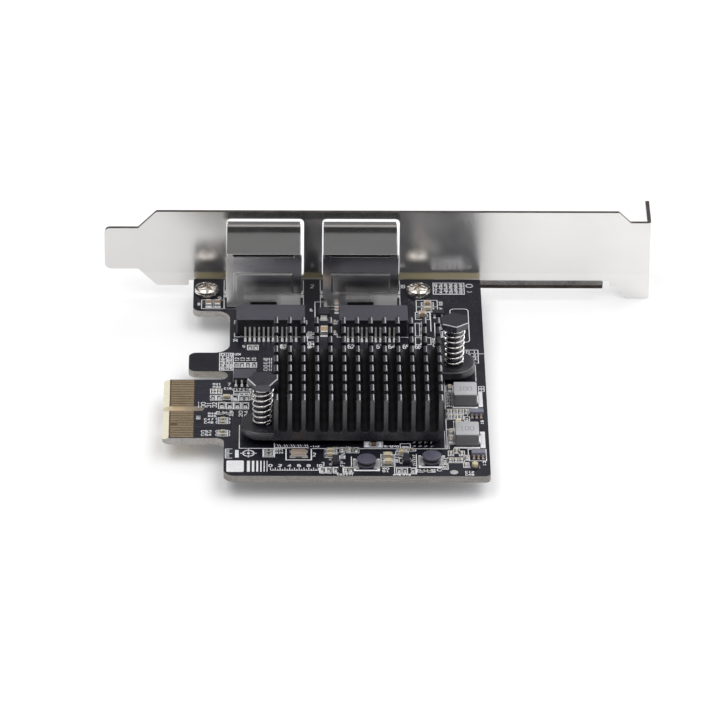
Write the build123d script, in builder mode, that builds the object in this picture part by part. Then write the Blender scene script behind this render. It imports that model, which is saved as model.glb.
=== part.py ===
from build123d import *
import os
from math import atan2, degrees

os.makedirs("parts", exist_ok=True)

# Network interface card, component side up, bracket standing at the back.
# Millimetres. +X runs along the bracket towards its mounting tab, +Y points
# from the circuit board out through the ports, +Z up. The origin is the
# middle of the bounding box on X and Y, at the lowest point of the card.

# datums: bracket tongue end, inner face of the bracket, component face
X0 = -60.01
Y0 = 36.71
Z0 = 5.5

# bracket
bracket_length = 120.02
bracket_t = 0.86
bracket_bottom = Z0 - 2.43
bracket_top = Z0 + 15.99
tongue_width = 10.19
tongue_bottom = bracket_bottom + 4.11
tongue_top = tongue_bottom + tongue_width
tongue_length = 7.4
taper_end = 11.45
tab_depth = 11.43
tab_bottom = 0.0
tab_top = Z0 + 13.45
tab_slot_width = 4.42
tab_slot_y = 6.35
tab_slot_reach = 5.1
lip_start, lip_end, lip_reach = 19.6, 109.75, 1.0
ear_reach = 11.2
port_opening_width, port_opening_bottom, port_opening_top = 17.0, -0.25, 14.3
port_opening_x = (35.3, 56.3)

# circuit board
board_t = 1.57
board_back = -1.5
board_front = -84.85
board_right = 82.65
finger_edge = 13.75
tongue_side_back, tongue_side_front = -45.26, -69.56
key_y, key_width, key_end = -57.41, 1.9, 22.45
bevel_run, bevel_drop = 1.3, 0.42
screw_spots = ((22.55, -7.7), (68.9, -7.7))
screw_clearance_d = 3.2
pin_spots = ((34.9, -68.1), (75.8, -43.1))
pin_hole_d = 3.1

# edge contacts
contact_pitch, contact_width, contact_t = 1.0, 0.7, 0.04
contact_left, contact_right = 15.4, 20.2
contact_rows = [-45.91 - i for i in range(11)] + [-58.91 - i for i in range(11)]

# port jacks
jack_x = (35.0, 56.12)
jack_width, jack_height = 16.1, 13.4
jack_front, jack_rear = 0.6, -14.2
shield_t = 0.25
jack_cavity_width, jack_cavity_depth = 11.8, 11.4
port_pitch = 1.02

# heatsink
sink_left, sink_width = 37.23, 35.62
sink_front, sink_depth = -73.1, 35.0
sink_bottom, sink_base, sink_height = 1.5, 2.0, 10.0
fin_count, fin_t = 13, 1.0
row_count, row_depth = 9, 2.6
ear_r, ear_t = 4.6, 1.7
ear_hole_d = 3.1

# sprung push pins
pin_shaft_d = 2.95
pin_head_flats = 5.54
pin_head_top, pin_head_t = 13.7, 1.5
barb_d, barb_tip_d = 3.9, 2.0
spring_wire_d = 0.45
spring_turns = 6.6

# transformers
trafo_x = (36.55, 58.8)
trafo_y = (-23.4, -23.5)
trafo_size = (14.9, 6.7, 4.2)
trafo_lead_pitch = 1.0


def at(x, y):
    """Point of the card, measured from the tongue end and the bracket's inner face."""
    return (X0 + x, Y0 + y)


def nearest(vertices, x, y):
    px, py = at(x, y)
    return min(vertices, key=lambda v: (v.X - px) ** 2 + (v.Y - py) ** 2)


# ---------------------------------------------------------------- circuit board
key_low, key_high = key_y - key_width / 2, key_y + key_width / 2
outline = [
    (19.6, board_back), (19.6, -15.7), (27.7, -15.7), (27.7, -33.75),
    (18.95, -33.75), (18.95, -41.75), (27.4, -41.75), (27.4, tongue_side_back),
    (finger_edge, tongue_side_back), (finger_edge, key_high), (key_end, key_high),
    (key_end, key_low), (finger_edge, key_low), (finger_edge, tongue_side_front),
    (26.75, tongue_side_front), (26.75, board_front), (board_right, board_front),
    (board_right, board_back),
]
corner_radii = [
    (19.6, -15.7, 1.8), (27.7, -15.7, 3.2), (27.7, -33.75, 3.4),
    (18.95, -33.75, 1.7), (18.95, -41.75, 1.7), (27.4, -41.75, 1.74),
    (27.4, tongue_side_back, 1.74), (finger_edge, tongue_side_back, 0.5),
    (key_end, key_high, 0.94), (key_end, key_low, 0.94),
    (finger_edge, tongue_side_front, 0.5), (26.75, tongue_side_front, 1.7),
    (26.75, board_front, 2.4), (board_right, board_front, 1.2),
    (19.6, board_back, 0.4), (board_right, board_back, 0.4),
]
leg_rows = (-9.6, -12.1)  # the two staggered rows of port contact legs
peg_y, peg_hole_d, peg_dx = -5.2, 3.25, 6.35
shield_leg_y = -8.2
with BuildPart() as circuit_board:
    with BuildSketch(Plane.XY.offset(Z0 - board_t)) as board_face:
        with BuildLine():
            Polyline([at(x, y) for x, y in outline], close=True)
        make_face()
        for x, y, r in corner_radii:
            fillet(nearest(board_face.vertices(), x, y), r)
    extrude(amount=board_t)
    # plug-in edge bevelled on both faces
    bevel_mid = (tongue_side_back + tongue_side_front) / 2
    with BuildSketch(Plane.XZ.offset(-(Y0 + bevel_mid))):
        with BuildLine():
            Polyline([(X0 + finger_edge - 0.1, Z0 + 0.1), (X0 + finger_edge + bevel_run, Z0 + 0.1),
                      (X0 + finger_edge + bevel_run, Z0), (X0 + finger_edge, Z0 - bevel_drop),
                      (X0 + finger_edge - 0.1, Z0 - bevel_drop)], close=True)
        make_face()
        with BuildLine():
            Polyline([(X0 + finger_edge - 0.1, Z0 - board_t - 0.1), (X0 + finger_edge + bevel_run, Z0 - board_t - 0.1),
                      (X0 + finger_edge + bevel_run, Z0 - board_t), (X0 + finger_edge, Z0 - board_t + bevel_drop),
                      (X0 + finger_edge - 0.1, Z0 - board_t + bevel_drop)], close=True)
        make_face()
    extrude(amount=12.5, both=True, mode=Mode.SUBTRACT)
    # holes: bracket screws, heatsink pins, port pegs, contact legs, shield legs
    with BuildSketch(Plane.XY.offset(Z0 - board_t)):
        with Locations(*[at(x, y) for x, y in screw_spots]):
            Circle(screw_clearance_d / 2)
        with Locations(*[at(x, y) for x, y in pin_spots]):
            Circle(pin_hole_d / 2)
        with Locations(*[at(c + s * peg_dx, peg_y) for c in jack_x for s in (-1, 1)]):
            Circle(peg_hole_d / 2)
        with Locations(*[at(c + (i - 3.5) * port_pitch, leg_rows[i % 2]) for c in jack_x for i in range(8)]):
            Circle(0.42)
        with Locations(*[at(c + s * (jack_width / 2 - shield_t / 2), shield_leg_y) for c in jack_x for s in (-1, 1)]):
            Rectangle(0.8, 2.2)
    extrude(amount=board_t, mode=Mode.SUBTRACT)
circuit_board.part.label = "circuit_board"
export_step(circuit_board.part, "parts/circuit_board.step")

# ---------------------------------------------------------------- edge contacts
with BuildPart() as edge_contacts_top:
    for i, y in enumerate(contact_rows):
        # the seventeenth contact starts short of the plug-in edge
        left = contact_left + (1.45 if i == 16 else 0.0)
        with Locations((X0 + (left + contact_right) / 2, Y0 + y, Z0 + contact_t / 2)):
            Box(contact_right - left, contact_width, contact_t)
edge_contacts_top.part.label = "edge_contacts_top"
export_step(edge_contacts_top.part, "parts/edge_contacts_top.step")

with BuildPart() as edge_contacts_bottom:
    for i, y in enumerate(contact_rows):
        left = contact_left + (1.45 if i == 0 else 0.0)
        with Locations((X0 + (left + contact_right) / 2, Y0 + y, Z0 - board_t - contact_t / 2)):
            Box(contact_right - left, contact_width, contact_t)
edge_contacts_bottom.part.label = "edge_contacts_bottom"
export_step(edge_contacts_bottom.part, "parts/edge_contacts_bottom.step")

# ---------------------------------------------------------------- bracket
lip_t = bracket_t
lip_top = bracket_bottom + lip_t
plate = [
    (X0, tongue_bottom), (X0, tongue_top), (X0 + tongue_length, tongue_top),
    (X0 + taper_end, bracket_top), (X0 + 112.95, bracket_top), (X0 + 115.5, tab_top),
    (X0 + bracket_length, tab_top), (X0 + bracket_length, tab_bottom),
    (X0 + 115.3, tab_bottom), (X0 + 112.8, bracket_bottom),
    (X0 + lip_end + 1.4, bracket_bottom), (X0 + lip_end + 1.4, lip_top + 0.4),
    (X0 + lip_end, lip_top + 0.4), (X0 + lip_end, bracket_bottom),
    (X0 + lip_start, bracket_bottom), (X0 + lip_start, lip_top + 0.4),
    (X0 + lip_start - 1.1, lip_top + 0.4), (X0 + lip_start - 1.1, bracket_bottom),
    (X0 + taper_end, bracket_bottom), (X0 + tongue_length, tongue_bottom),
]


def nearest_on_plate(vertices, x, z):
    # a sketch keeps its own coordinates: here its y is the height
    return min(vertices, key=lambda v: (v.X - x) ** 2 + (v.Y - z) ** 2)


with BuildPart() as bracket:
    # upright plate, its outer face bracket_t behind the inner one
    with BuildSketch(Plane.XZ.offset(-Y0)) as plate_face:
        with BuildLine():
            Polyline(plate, close=True)
        make_face()
        for x, z, r in (
            (X0, tongue_bottom, 1.5), (X0, tongue_top, 1.3),
            (X0 + taper_end, bracket_top, 0.8), (X0 + taper_end, bracket_bottom, 0.8),
            (X0 + 112.95, bracket_top, 0.8), (X0 + 115.5, tab_top, 0.6),
            (X0 + 115.3, tab_bottom, 0.6), (X0 + 112.8, bracket_bottom, 0.8),
            (X0 + lip_start - 1.1, bracket_bottom, 0.3), (X0 + lip_end + 1.4, bracket_bottom, 0.3),
        ):
            fillet(nearest_on_plate(plate_face.vertices(), x, z), r)
        with Locations(*[(X0 + x, Z0 + (port_opening_bottom + port_opening_top) / 2) for x in port_opening_x]):
            RectangleRounded(port_opening_width, port_opening_top - port_opening_bottom, 1.0, mode=Mode.SUBTRACT)
    extrude(amount=-bracket_t)
    # mounting tab folded outwards, with its side-opening screw slot
    with BuildSketch(Plane.YZ.offset(X0 + bracket_length - bracket_t)):
        with BuildLine():
            Polyline([(Y0, tab_bottom), (Y0 + tab_depth - 1.2, tab_bottom), (Y0 + tab_depth, tab_bottom + 1.2),
                      (Y0 + tab_depth, tab_top - 1.2), (Y0 + tab_depth - 1.2, tab_top), (Y0, tab_top)], close=True)
        make_face()
        with Locations((Y0 + tab_slot_y, tab_bottom + tab_slot_reach)):
            Circle(tab_slot_width / 2, mode=Mode.SUBTRACT)
        with Locations((Y0 + tab_slot_y, tab_bottom + tab_slot_reach / 2 - 0.5)):
            Rectangle(tab_slot_width, tab_slot_reach + 1.0, mode=Mode.SUBTRACT)
    extrude(amount=bracket_t)
    # lip folded in along the lower edge, with two screw ears under the board
    with BuildSketch(Plane.XY.offset(bracket_bottom)) as lip_face:
        with Locations((X0 + (lip_start + lip_end) / 2, Y0 + (bracket_t - lip_reach) / 2)):
            Rectangle(lip_end - lip_start, bracket_t + lip_reach)
        with Locations((X0 + (19.9 + 25.9) / 2, Y0 - ear_reach / 2)):
            Rectangle(6.0, ear_reach)
        with Locations((X0 + (65.6 + 72.6) / 2, Y0 - ear_reach / 2)):
            Rectangle(7.0, ear_reach)
        for x, y, r in ((19.9, -ear_reach, 1.5), (25.9, -ear_reach, 1.5), (65.6, -ear_reach, 1.5),
                        (72.6, -ear_reach, 1.5), (lip_end, -lip_reach, 0.45)):
            fillet(nearest(lip_face.vertices(), x, y), r)
        with Locations(*[at(x, y) for x, y in screw_spots]):
            Circle(1.5, mode=Mode.SUBTRACT)
    extrude(amount=lip_t)
    # outside of the two folds
    tab_fold = bracket.edges().filter_by(Axis.Z).sort_by(lambda e: (e.center().X - (X0 + bracket_length)) ** 2 + (e.center().Y - Y0) ** 2)[0]
    fillet(tab_fold, 0.8)
    lip_fold = bracket.edges().filter_by(Axis.X).sort_by(
        lambda e: (e.center().Y - (Y0 + bracket_t)) ** 2 + (e.center().Z - bracket_bottom) ** 2 - e.length * 0.001)[0]
    fillet(lip_fold, 0.7)
bracket.part.label = "bracket"
export_step(bracket.part, "parts/bracket.step")

# ---------------------------------------------------------------- bracket screws
screw_head_r, screw_head_h, screw_shank_r, screw_reach = 2.65, 2.0, 1.43, 3.9
with BuildPart() as screw_one:
    with BuildSketch(Plane.XZ):
        with BuildLine():
            Polyline([(0, -screw_reach), (screw_shank_r - 0.3, -screw_reach), (screw_shank_r, -screw_reach + 0.4),
                      (screw_shank_r, 0), (screw_head_r - 0.1, 0), (screw_head_r, 0.15), (screw_head_r, 0.75)])
            ThreePointArc((screw_head_r, 0.75), (2.0, 1.55), (0, screw_head_h))
            Line((0, screw_head_h), (0, -screw_reach))
        make_face()
    revolve(axis=Axis.Z)
    # cross recess
    with BuildSketch(Plane.XY.offset(screw_head_h + 0.05)):
        Rectangle(2.9, 0.72)
        Rectangle(0.72, 2.9)
    extrude(amount=-1.35, taper=10, mode=Mode.SUBTRACT)
with BuildPart() as bracket_screws:
    for n, (x, y) in enumerate(screw_spots):
        with Locations((X0 + x, Y0 + y, Z0)):
            add(screw_one.part, rotation=(0, 0, 25 + 40 * n))
bracket_screws.part.label = "bracket_screws"
export_step(bracket_screws.part, "parts/bracket_screws.step")

# ---------------------------------------------------------------- port jacks
lens_w, lens_h, lens_z, lens_dx = 2.3, 1.8, 11.5, 5.85
latch_w, latch_top = 6.2, 11.6
cavity_bottom, cavity_top = 1.9, 9.9
for c, side in ((jack_x[0], "left"), (jack_x[1], "right")):
    mid_y = (jack_front + jack_rear) / 2
    length = jack_front - jack_rear
    cx = X0 + c
    with BuildPart() as port_shield:
        with Locations((cx, Y0 + mid_y, Z0 + jack_height / 2 + 0.02)):
            Box(jack_width, length, jack_height - 0.04)
        # hollow, open underneath
        with Locations((cx, Y0 + mid_y, Z0 + (jack_height - shield_t) / 2)):
            Box(jack_width - 2 * shield_t, length - 2 * shield_t, jack_height - shield_t, mode=Mode.SUBTRACT)
        # front windows: plug opening, latch notch and the two lamps
        with BuildSketch(Plane.XZ.offset(-(Y0 + jack_front - shield_t - 0.3))):
            with Locations((cx, Z0 + (1.2 + cavity_top + 0.3) / 2)):
                Rectangle(jack_cavity_width + 0.8, cavity_top + 0.3 - 1.2)
            with Locations((cx, Z0 + (cavity_top + latch_top + 0.3) / 2)):
                Rectangle(latch_w + 0.6, latch_top + 0.3 - cavity_top)
            with Locations((cx - lens_dx, Z0 + lens_z), (cx + lens_dx, Z0 + lens_z)):
                Rectangle(lens_w + 0.2, lens_h + 0.2)
        extrude(amount=-1.0, mode=Mode.SUBTRACT)
        # gap between the roof and the folded-down rear wall
        with Locations((cx, Y0 + jack_rear, Z0 + jack_height - 0.45)):
            Box(13.1, 1.2, 0.4, mode=Mode.SUBTRACT)
        # small tool slot low in the rear wall
        with Locations((cx, Y0 + jack_rear, Z0 + 1.05)):
            Box(5.7, 1.2, 0.7, mode=Mode.SUBTRACT)
        # rear wall laps round the side walls
        for s in (-1, 1):
            with Locations((cx + s * (jack_width / 2 + 0.1), Y0 + jack_rear + 0.55, Z0 + 7.6)):
                Box(0.2, 1.1, 10.2)
        # raised panel on the rear wall
        with BuildSketch(Plane.XZ.offset(-(Y0 + jack_rear))):
            with Locations((cx, Z0 + 6.2)):
                Rectangle(12.9, 5.0)
        extrude(amount=0.4, taper=45)
        # solder legs
        for s in (-1, 1):
            with Locations((cx + s * (jack_width / 2 - shield_t / 2), Y0 + shield_leg_y, Z0 - 1.3)):
                Box(shield_t, 1.7, 3.6)
    port_shield.part.label = f"port_shield_{side}"
    export_step(port_shield.part, f"parts/port_shield_{side}.step")

    body_w, body_front, body_rear = jack_width - 2 * shield_t - 0.1, jack_front - shield_t - 0.05, jack_rear + shield_t + 0.05
    with BuildPart() as port_housing:
        with Locations((cx, Y0 + (body_front + body_rear) / 2, Z0 + (0.05 + jack_height - shield_t - 0.05) / 2)):
            Box(body_w, body_front - body_rear, jack_height - shield_t - 0.1)
        with Locations((cx, Y0 + body_front - jack_cavity_depth / 2 + 0.5, Z0 + (cavity_bottom + cavity_top) / 2)):
            Box(jack_cavity_width, jack_cavity_depth + 1.0, cavity_top - cavity_bottom, mode=Mode.SUBTRACT)
        with Locations((cx, Y0 + body_front - 4.5 + 0.5, Z0 + (cavity_top + latch_top) / 2 - 0.25)):
            Box(latch_w, 10.0, latch_top - cavity_top + 0.5, mode=Mode.SUBTRACT)
        # trough for the contacts, open down to the board
        with Locations((cx, Y0 - 7.0, Z0 + 1.0)):
            Box(8.4, 12.6, 2.1, mode=Mode.SUBTRACT)
        # channels for the lamp light pipes
        with Locations(*[(cx + s * lens_dx, Y0 + body_front - 5.5, Z0 + lens_z) for s in (-1, 1)]):
            Box(lens_w + 0.1, 11.1, lens_h + 0.1, mode=Mode.SUBTRACT)
        # locating pegs through the board
        with BuildSketch(Plane.XY.offset(Z0 + 0.1)):
            with Locations(*[at(c + s * peg_dx, peg_y) for s in (-1, 1)]):
                Circle(peg_hole_d / 2 - 0.08)
        extrude(amount=-3.0)
    port_housing.part.label = f"port_housing_{side}"
    export_step(port_housing.part, f"parts/port_housing_{side}.step")

    with BuildPart() as port_contacts:
        for i in range(8):
            row = leg_rows[i % 2]
            with BuildSketch(Plane.YZ.offset(cx + (i - 3.5) * port_pitch)):
                with BuildLine():
                    Polyline([(Y0 + row, Z0 - 3.1), (Y0 + row, Z0 + 1.1), (Y0 - 1.6, Z0 + 1.1),
                              (Y0 - 1.3, Z0 + 1.5), (Y0 - 8.6, Z0 + 4.9)])
                trace(line_width=0.3)
            extrude(amount=0.2, both=True)
    port_contacts.part.label = f"port_contacts_{side}"
    export_step(port_contacts.part, f"parts/port_contacts_{side}.step")

with BuildPart() as port_light_pipes:
    with Locations(*[(X0 + c + s * lens_dx, Y0 + jack_front - 5.4, Z0 + lens_z) for c in jack_x for s in (-1, 1)]):
        Box(lens_w, 10.7, lens_h)
port_light_pipes.part.label = "port_light_pipes"
export_step(port_light_pipes.part, "parts/port_light_pipes.step")

# ---------------------------------------------------------------- heatsink
sink_base_top = sink_bottom + sink_base
ear_top = sink_bottom + ear_t
fin_pitch = (sink_width - fin_t) / (fin_count - 1)
row_pitch = (sink_depth - row_depth) / (row_count - 1)
channel = fin_pitch - fin_t
with BuildPart() as heatsink:
    with BuildSketch(Plane.XY.offset(Z0 + sink_bottom)):
        with Locations(at(sink_left + sink_width / 2, sink_front + sink_depth / 2)):
            Rectangle(sink_width, sink_depth)
    extrude(amount=sink_height)
    # channels between the fins, round at the bottom
    with BuildSketch(Plane.XZ.offset(-(Y0 + sink_front + sink_depth / 2))):
        with Locations(*[(X0 + sink_left + fin_t / 2 + fin_pitch * (i + 0.5), Z0 + sink_base_top + channel / 2 + 6.0) for i in range(fin_count - 1)]):
            Rectangle(channel, 12.0)
        with Locations(*[(X0 + sink_left + fin_t / 2 + fin_pitch * (i + 0.5), Z0 + sink_base_top + channel / 2) for i in range(fin_count - 1)]):
            Circle(channel / 2)
    extrude(amount=sink_depth / 2 + 1.0, both=True, mode=Mode.SUBTRACT)
    # cross cuts that part each fin into a row of pegs
    with Locations(*[(X0 + sink_left + sink_width / 2, Y0 + sink_front + row_depth + (row_pitch - row_depth) / 2 + row_pitch * i,
                      Z0 + sink_base_top + 0.6 + 5.0) for i in range(row_count - 1)]):
        Box(sink_width + 2.0, row_pitch - row_depth, 10.0, mode=Mode.SUBTRACT)
    # shortened peg beside the left pin, so that the pin's head has room to be pressed
    with Locations((X0 + sink_left + 0.5, Y0 + pin_spots[0][1], Z0 + 8.9 + 2.0)):
        Box(1.5, 3.6, 4.0, mode=Mode.SUBTRACT)
    # two opposite ears for the sprung pins
    ear_blocks = ((pin_spots[0], -1, sink_front, sink_left), (pin_spots[1], 1, sink_front + sink_depth, sink_left + sink_width))
    for (px, py), s, far_y, near_x in ear_blocks:
        with BuildSketch(Plane.XY.offset(Z0 + sink_bottom)) as ear_face:
            x_out = px + s * ear_r
            y_far = far_y
            y_near = py - s * ear_r
            with Locations(at((x_out + near_x - s * 0.5) / 2, (y_far + y_near) / 2)):
                Rectangle(abs(x_out - near_x + s * 0.5), abs(y_far - y_near))
            for y in (y_far, y_near):
                fillet(nearest(ear_face.vertices(), x_out, y), ear_r - 0.15)
        extrude(amount=ear_t)
    with BuildSketch(Plane.XY.offset(Z0 + sink_bottom)):
        with Locations(*[at(x, y) for x, y in pin_spots]):
            Circle(ear_hole_d / 2)
    extrude(amount=ear_t, mode=Mode.SUBTRACT)
heatsink.part.label = "heatsink"
export_step(heatsink.part, "parts/heatsink.step")

# ---------------------------------------------------------------- chips under the heatsink
chip_t = 0.9
network_spots = ((46.2, -46.5), (64.0, -46.5))
bridge_spot = (55.0, -63.0)
with BuildPart() as network_chips:
    with Locations(*[(X0 + x, Y0 + y, Z0 + chip_t / 2) for x, y in network_spots]):
        Box(6.0, 6.0, chip_t)
network_chips.part.label = "network_chips"
export_step(network_chips.part, "parts/network_chips.step")

with BuildPart() as bridge_chip:
    with Locations((X0 + bridge_spot[0], Y0 + bridge_spot[1], Z0 + chip_t / 2)):
        Box(9.0, 9.0, chip_t)
bridge_chip.part.label = "bridge_chip"
export_step(bridge_chip.part, "parts/bridge_chip.step")

with BuildPart() as thermal_pads:
    pad_t = sink_bottom - chip_t
    with Locations(*[(X0 + x, Y0 + y, Z0 + chip_t + pad_t / 2) for x, y in network_spots]):
        Box(8.0, 8.0, pad_t)
    with Locations((X0 + bridge_spot[0], Y0 + bridge_spot[1], Z0 + chip_t + pad_t / 2)):
        Box(11.0, 11.0, pad_t)
thermal_pads.part.label = "thermal_pads"
export_step(thermal_pads.part, "parts/thermal_pads.step")

# ---------------------------------------------------------------- sprung push pins
for (px, py), turn, side in ((pin_spots[0], 0.0, "left"), (pin_spots[1], 37.0, "right")):
    head_under = Z0 + pin_head_top - pin_head_t
    with BuildPart() as push_pin:
        with BuildSketch(Plane.XY.offset(head_under)):
            with Locations(at(px, py)):
                RegularPolygon(pin_head_flats / 2, 6, major_radius=False, rotation=turn)
        extrude(amount=pin_head_t)
        with BuildSketch(Plane.XY.offset(Z0 - board_t - 0.1)):
            with Locations(at(px, py)):
                Circle(pin_shaft_d / 2)
        extrude(amount=head_under - (Z0 - board_t - 0.1))
        # split barb below the board
        with BuildSketch(Plane(origin=(X0 + px, Y0 + py, 0), x_dir=(1, 0, 0), z_dir=(0, -1, 0))):
            with BuildLine():
                Polyline([(0, 0), (barb_tip_d / 2 - 0.3, 0), (barb_tip_d / 2, 0.4), (barb_d / 2, Z0 - board_t - 0.75),
                          (barb_d / 2 - 0.1, Z0 - board_t - 0.06), (0, Z0 - board_t - 0.06)], close=True)
            make_face()
        revolve(axis=Axis((X0 + px, Y0 + py, 0), (0, 0, 1)))
        with Locations(Location((X0 + px, Y0 + py, (Z0 - board_t) / 2 - 0.1), (0, 0, turn + 20))):
            Box(0.7, 6.0, Z0 - board_t + 0.6, mode=Mode.SUBTRACT)
    push_pin.part.label = f"push_pin_{side}"
    export_step(push_pin.part, f"parts/push_pin_{side}.step")

    spring_low = Z0 + ear_top + spring_wire_d / 2 + 0.03
    spring_high = head_under - spring_wire_d / 2 - 0.03
    r_low, r_high = 1.88, 2.15
    lean = degrees(atan2(r_high - r_low, spring_high - spring_low))
    with BuildPart() as push_pin_spring:
        with BuildLine() as coil:
            Helix((spring_high - spring_low) / spring_turns, spring_high - spring_low, r_low,
                  center=(X0 + px, Y0 + py, spring_low), cone_angle=lean)
        with BuildSketch(Plane(origin=coil.line @ 0, z_dir=coil.line % 0)):
            Circle(spring_wire_d / 2)
        sweep(path=coil.line, is_frenet=True)
    push_pin_spring.part.label = f"push_pin_spring_{side}"
    export_step(push_pin_spring.part, f"parts/push_pin_spring_{side}.step")

# ---------------------------------------------------------------- transformers
for c, y_mid, side in ((trafo_x[0], trafo_y[0], "left"), (trafo_x[1], trafo_y[1], "right")):
    w, d, h = trafo_size
    with BuildPart() as transformer_body:
        with Locations((X0 + c, Y0 + y_mid, Z0 + 0.25 + (h - 0.25) / 2)):
            Box(w, d, h - 0.25)
        chamfer(transformer_body.edges().filter_by(Axis.Z), 0.25)
        fillet(transformer_body.faces().sort_by(Axis.Z)[-1].edges(), 0.15)
    transformer_body.part.label = f"transformer_body_{side}"
    export_step(transformer_body.part, f"parts/transformer_body_{side}.step")

    with BuildPart() as transformer_leads:
        for i in range(12):
            for s in (-1, 1):
                edge = y_mid + s * d / 2 + s * 0.02
                with BuildSketch(Plane.YZ.offset(X0 + c + (i - 5.5) * trafo_lead_pitch)):
                    with BuildLine():
                        Polyline([(Y0 + edge, Z0 + 2.3), (Y0 + edge + s * 0.45, Z0 + 2.3),
                                  (Y0 + edge + s * 0.85, Z0 + 0.12), (Y0 + edge + s * 1.95, Z0 + 0.12)])
                    trace(line_width=0.2)
                extrude(amount=0.2, both=True)
    transformer_leads.part.label = f"transformer_leads_{side}"
    export_step(transformer_leads.part, f"parts/transformer_leads_{side}.step")

# ---------------------------------------------------------------- inductors
with BuildPart() as inductor_one:
    with Locations((0, 0, 1.45)):
        Box(4.95, 5.4, 2.9)
    fillet(inductor_one.edges().filter_by(Axis.Z), 0.3)
    fillet(inductor_one.faces().sort_by(Axis.Z)[-1].edges(), 0.12)
with BuildPart() as power_inductors:
    with Locations((X0 + 78.0, Y0 - 53.5, Z0), (X0 + 78.0, Y0 - 70.0, Z0)):
        add(inductor_one.part)
power_inductors.part.label = "power_inductors"
export_step(power_inductors.part, "parts/power_inductors.step")

drum_spots = ((56.7, -80.1), (70.4, -78.7))
with BuildPart() as drum_one:
    with BuildSketch(Plane.XZ):
        with BuildLine():
            Polyline([(0, 0), (1.95, 0), (1.95, 0.35), (1.1, 0.45), (1.1, 1.05), (2.0, 1.15), (2.0, 1.5), (0, 1.55)], close=True)
        make_face()
    revolve(axis=Axis.Z)
with BuildPart() as drum_inductor_cores:
    with Locations(*[(X0 + x, Y0 + y, Z0) for x, y in drum_spots]):
        add(drum_one.part)
drum_inductor_cores.part.label = "drum_inductor_cores"
export_step(drum_inductor_cores.part, "parts/drum_inductor_cores.step")

with BuildPart() as drum_inductor_windings:
    with BuildSketch(Plane.XY.offset(Z0 + 0.5)):
        with Locations(*[at(x, y) for x, y in drum_spots]):
            Circle(1.6)
        with Locations(*[at(x, y) for x, y in drum_spots]):
            Circle(1.14, mode=Mode.SUBTRACT)
    extrude(amount=0.5)
drum_inductor_windings.part.label = "drum_inductor_windings"
export_step(drum_inductor_windings.part, "parts/drum_inductor_windings.step")

# ---------------------------------------------------------------- crystal and small chips
with BuildPart() as crystal_can:
    with Locations((X0 + 42.5, Y0 - 76.1, Z0 + 0.4)):
        Box(3.2, 2.5, 0.8)
    fillet(crystal_can.edges().filter_by(Axis.Z), 0.3)
crystal_can.part.label = "crystal_can"
export_step(crystal_can.part, "parts/crystal_can.step")

memory_spot = (31.05, -45.0)
with BuildPart() as memory_chip:
    with Locations((X0 + memory_spot[0], Y0 + memory_spot[1], Z0 + 0.85)):
        Box(4.9, 3.9, 1.4)
    chamfer(memory_chip.faces().sort_by(Axis.Z)[-1].edges(), 0.15)
memory_chip.part.label = "memory_chip"
export_step(memory_chip.part, "parts/memory_chip.step")

with BuildPart() as memory_chip_leads:
    for i in range(4):
        for s in (-1, 1):
            edge = memory_spot[1] + s * 1.97
            with BuildSketch(Plane.YZ.offset(X0 + memory_spot[0] + (i - 1.5) * 1.27)):
                with BuildLine():
                    Polyline([(Y0 + edge, Z0 + 0.85), (Y0 + edge + s * 0.3, Z0 + 0.85),
                              (Y0 + edge + s * 0.5, Z0 + 0.11), (Y0 + edge + s * 1.05, Z0 + 0.11)])
                trace(line_width=0.18)
            extrude(amount=0.2, both=True)
memory_chip_leads.part.label = "memory_chip_leads"
export_step(memory_chip_leads.part, "parts/memory_chip_leads.step")

converter_spots = ((80.3, -59.6), (80.25, -76.4))
with BuildPart() as converter_chips:
    with Locations(*[(X0 + x, Y0 + y, Z0 + 0.6) for x, y in converter_spots]):
        Box(2.9, 1.6, 1.0)
converter_chips.part.label = "converter_chips"
export_step(converter_chips.part, "parts/converter_chips.step")

with BuildPart() as converter_chip_leads:
    for x, y in converter_spots:
        for i in (-1, 0, 1):
            for s in (-1, 1):
                edge = y + s * 0.82
                with BuildSketch(Plane.YZ.offset(X0 + x + i * 0.95)):
                    with BuildLine():
                        Polyline([(Y0 + edge, Z0 + 0.6), (Y0 + edge + s * 0.16, Z0 + 0.6),
                                  (Y0 + edge + s * 0.28, Z0 + 0.09), (Y0 + edge + s * 0.62, Z0 + 0.09)])
                    trace(line_width=0.13)
                extrude(amount=0.2, both=True)
converter_chip_leads.part.label = "converter_chip_leads"
export_step(converter_chip_leads.part, "parts/converter_chip_leads.step")

# three-legged transistors: length along Y at the first two, along X at the third
transistor_spots = ((50.3, -79.2, True), (65.1, -78.6, True), (73.05, -17.2, False))
with BuildPart() as transistors:
    for x, y, along_y in transistor_spots:
        with Locations((X0 + x, Y0 + y, Z0 + 0.55)):
            Box(1.3 if along_y else 2.5, 2.9 if along_y else 1.5, 0.95)
transistors.part.label = "transistors"
export_step(transistors.part, "parts/transistors.step")

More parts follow.
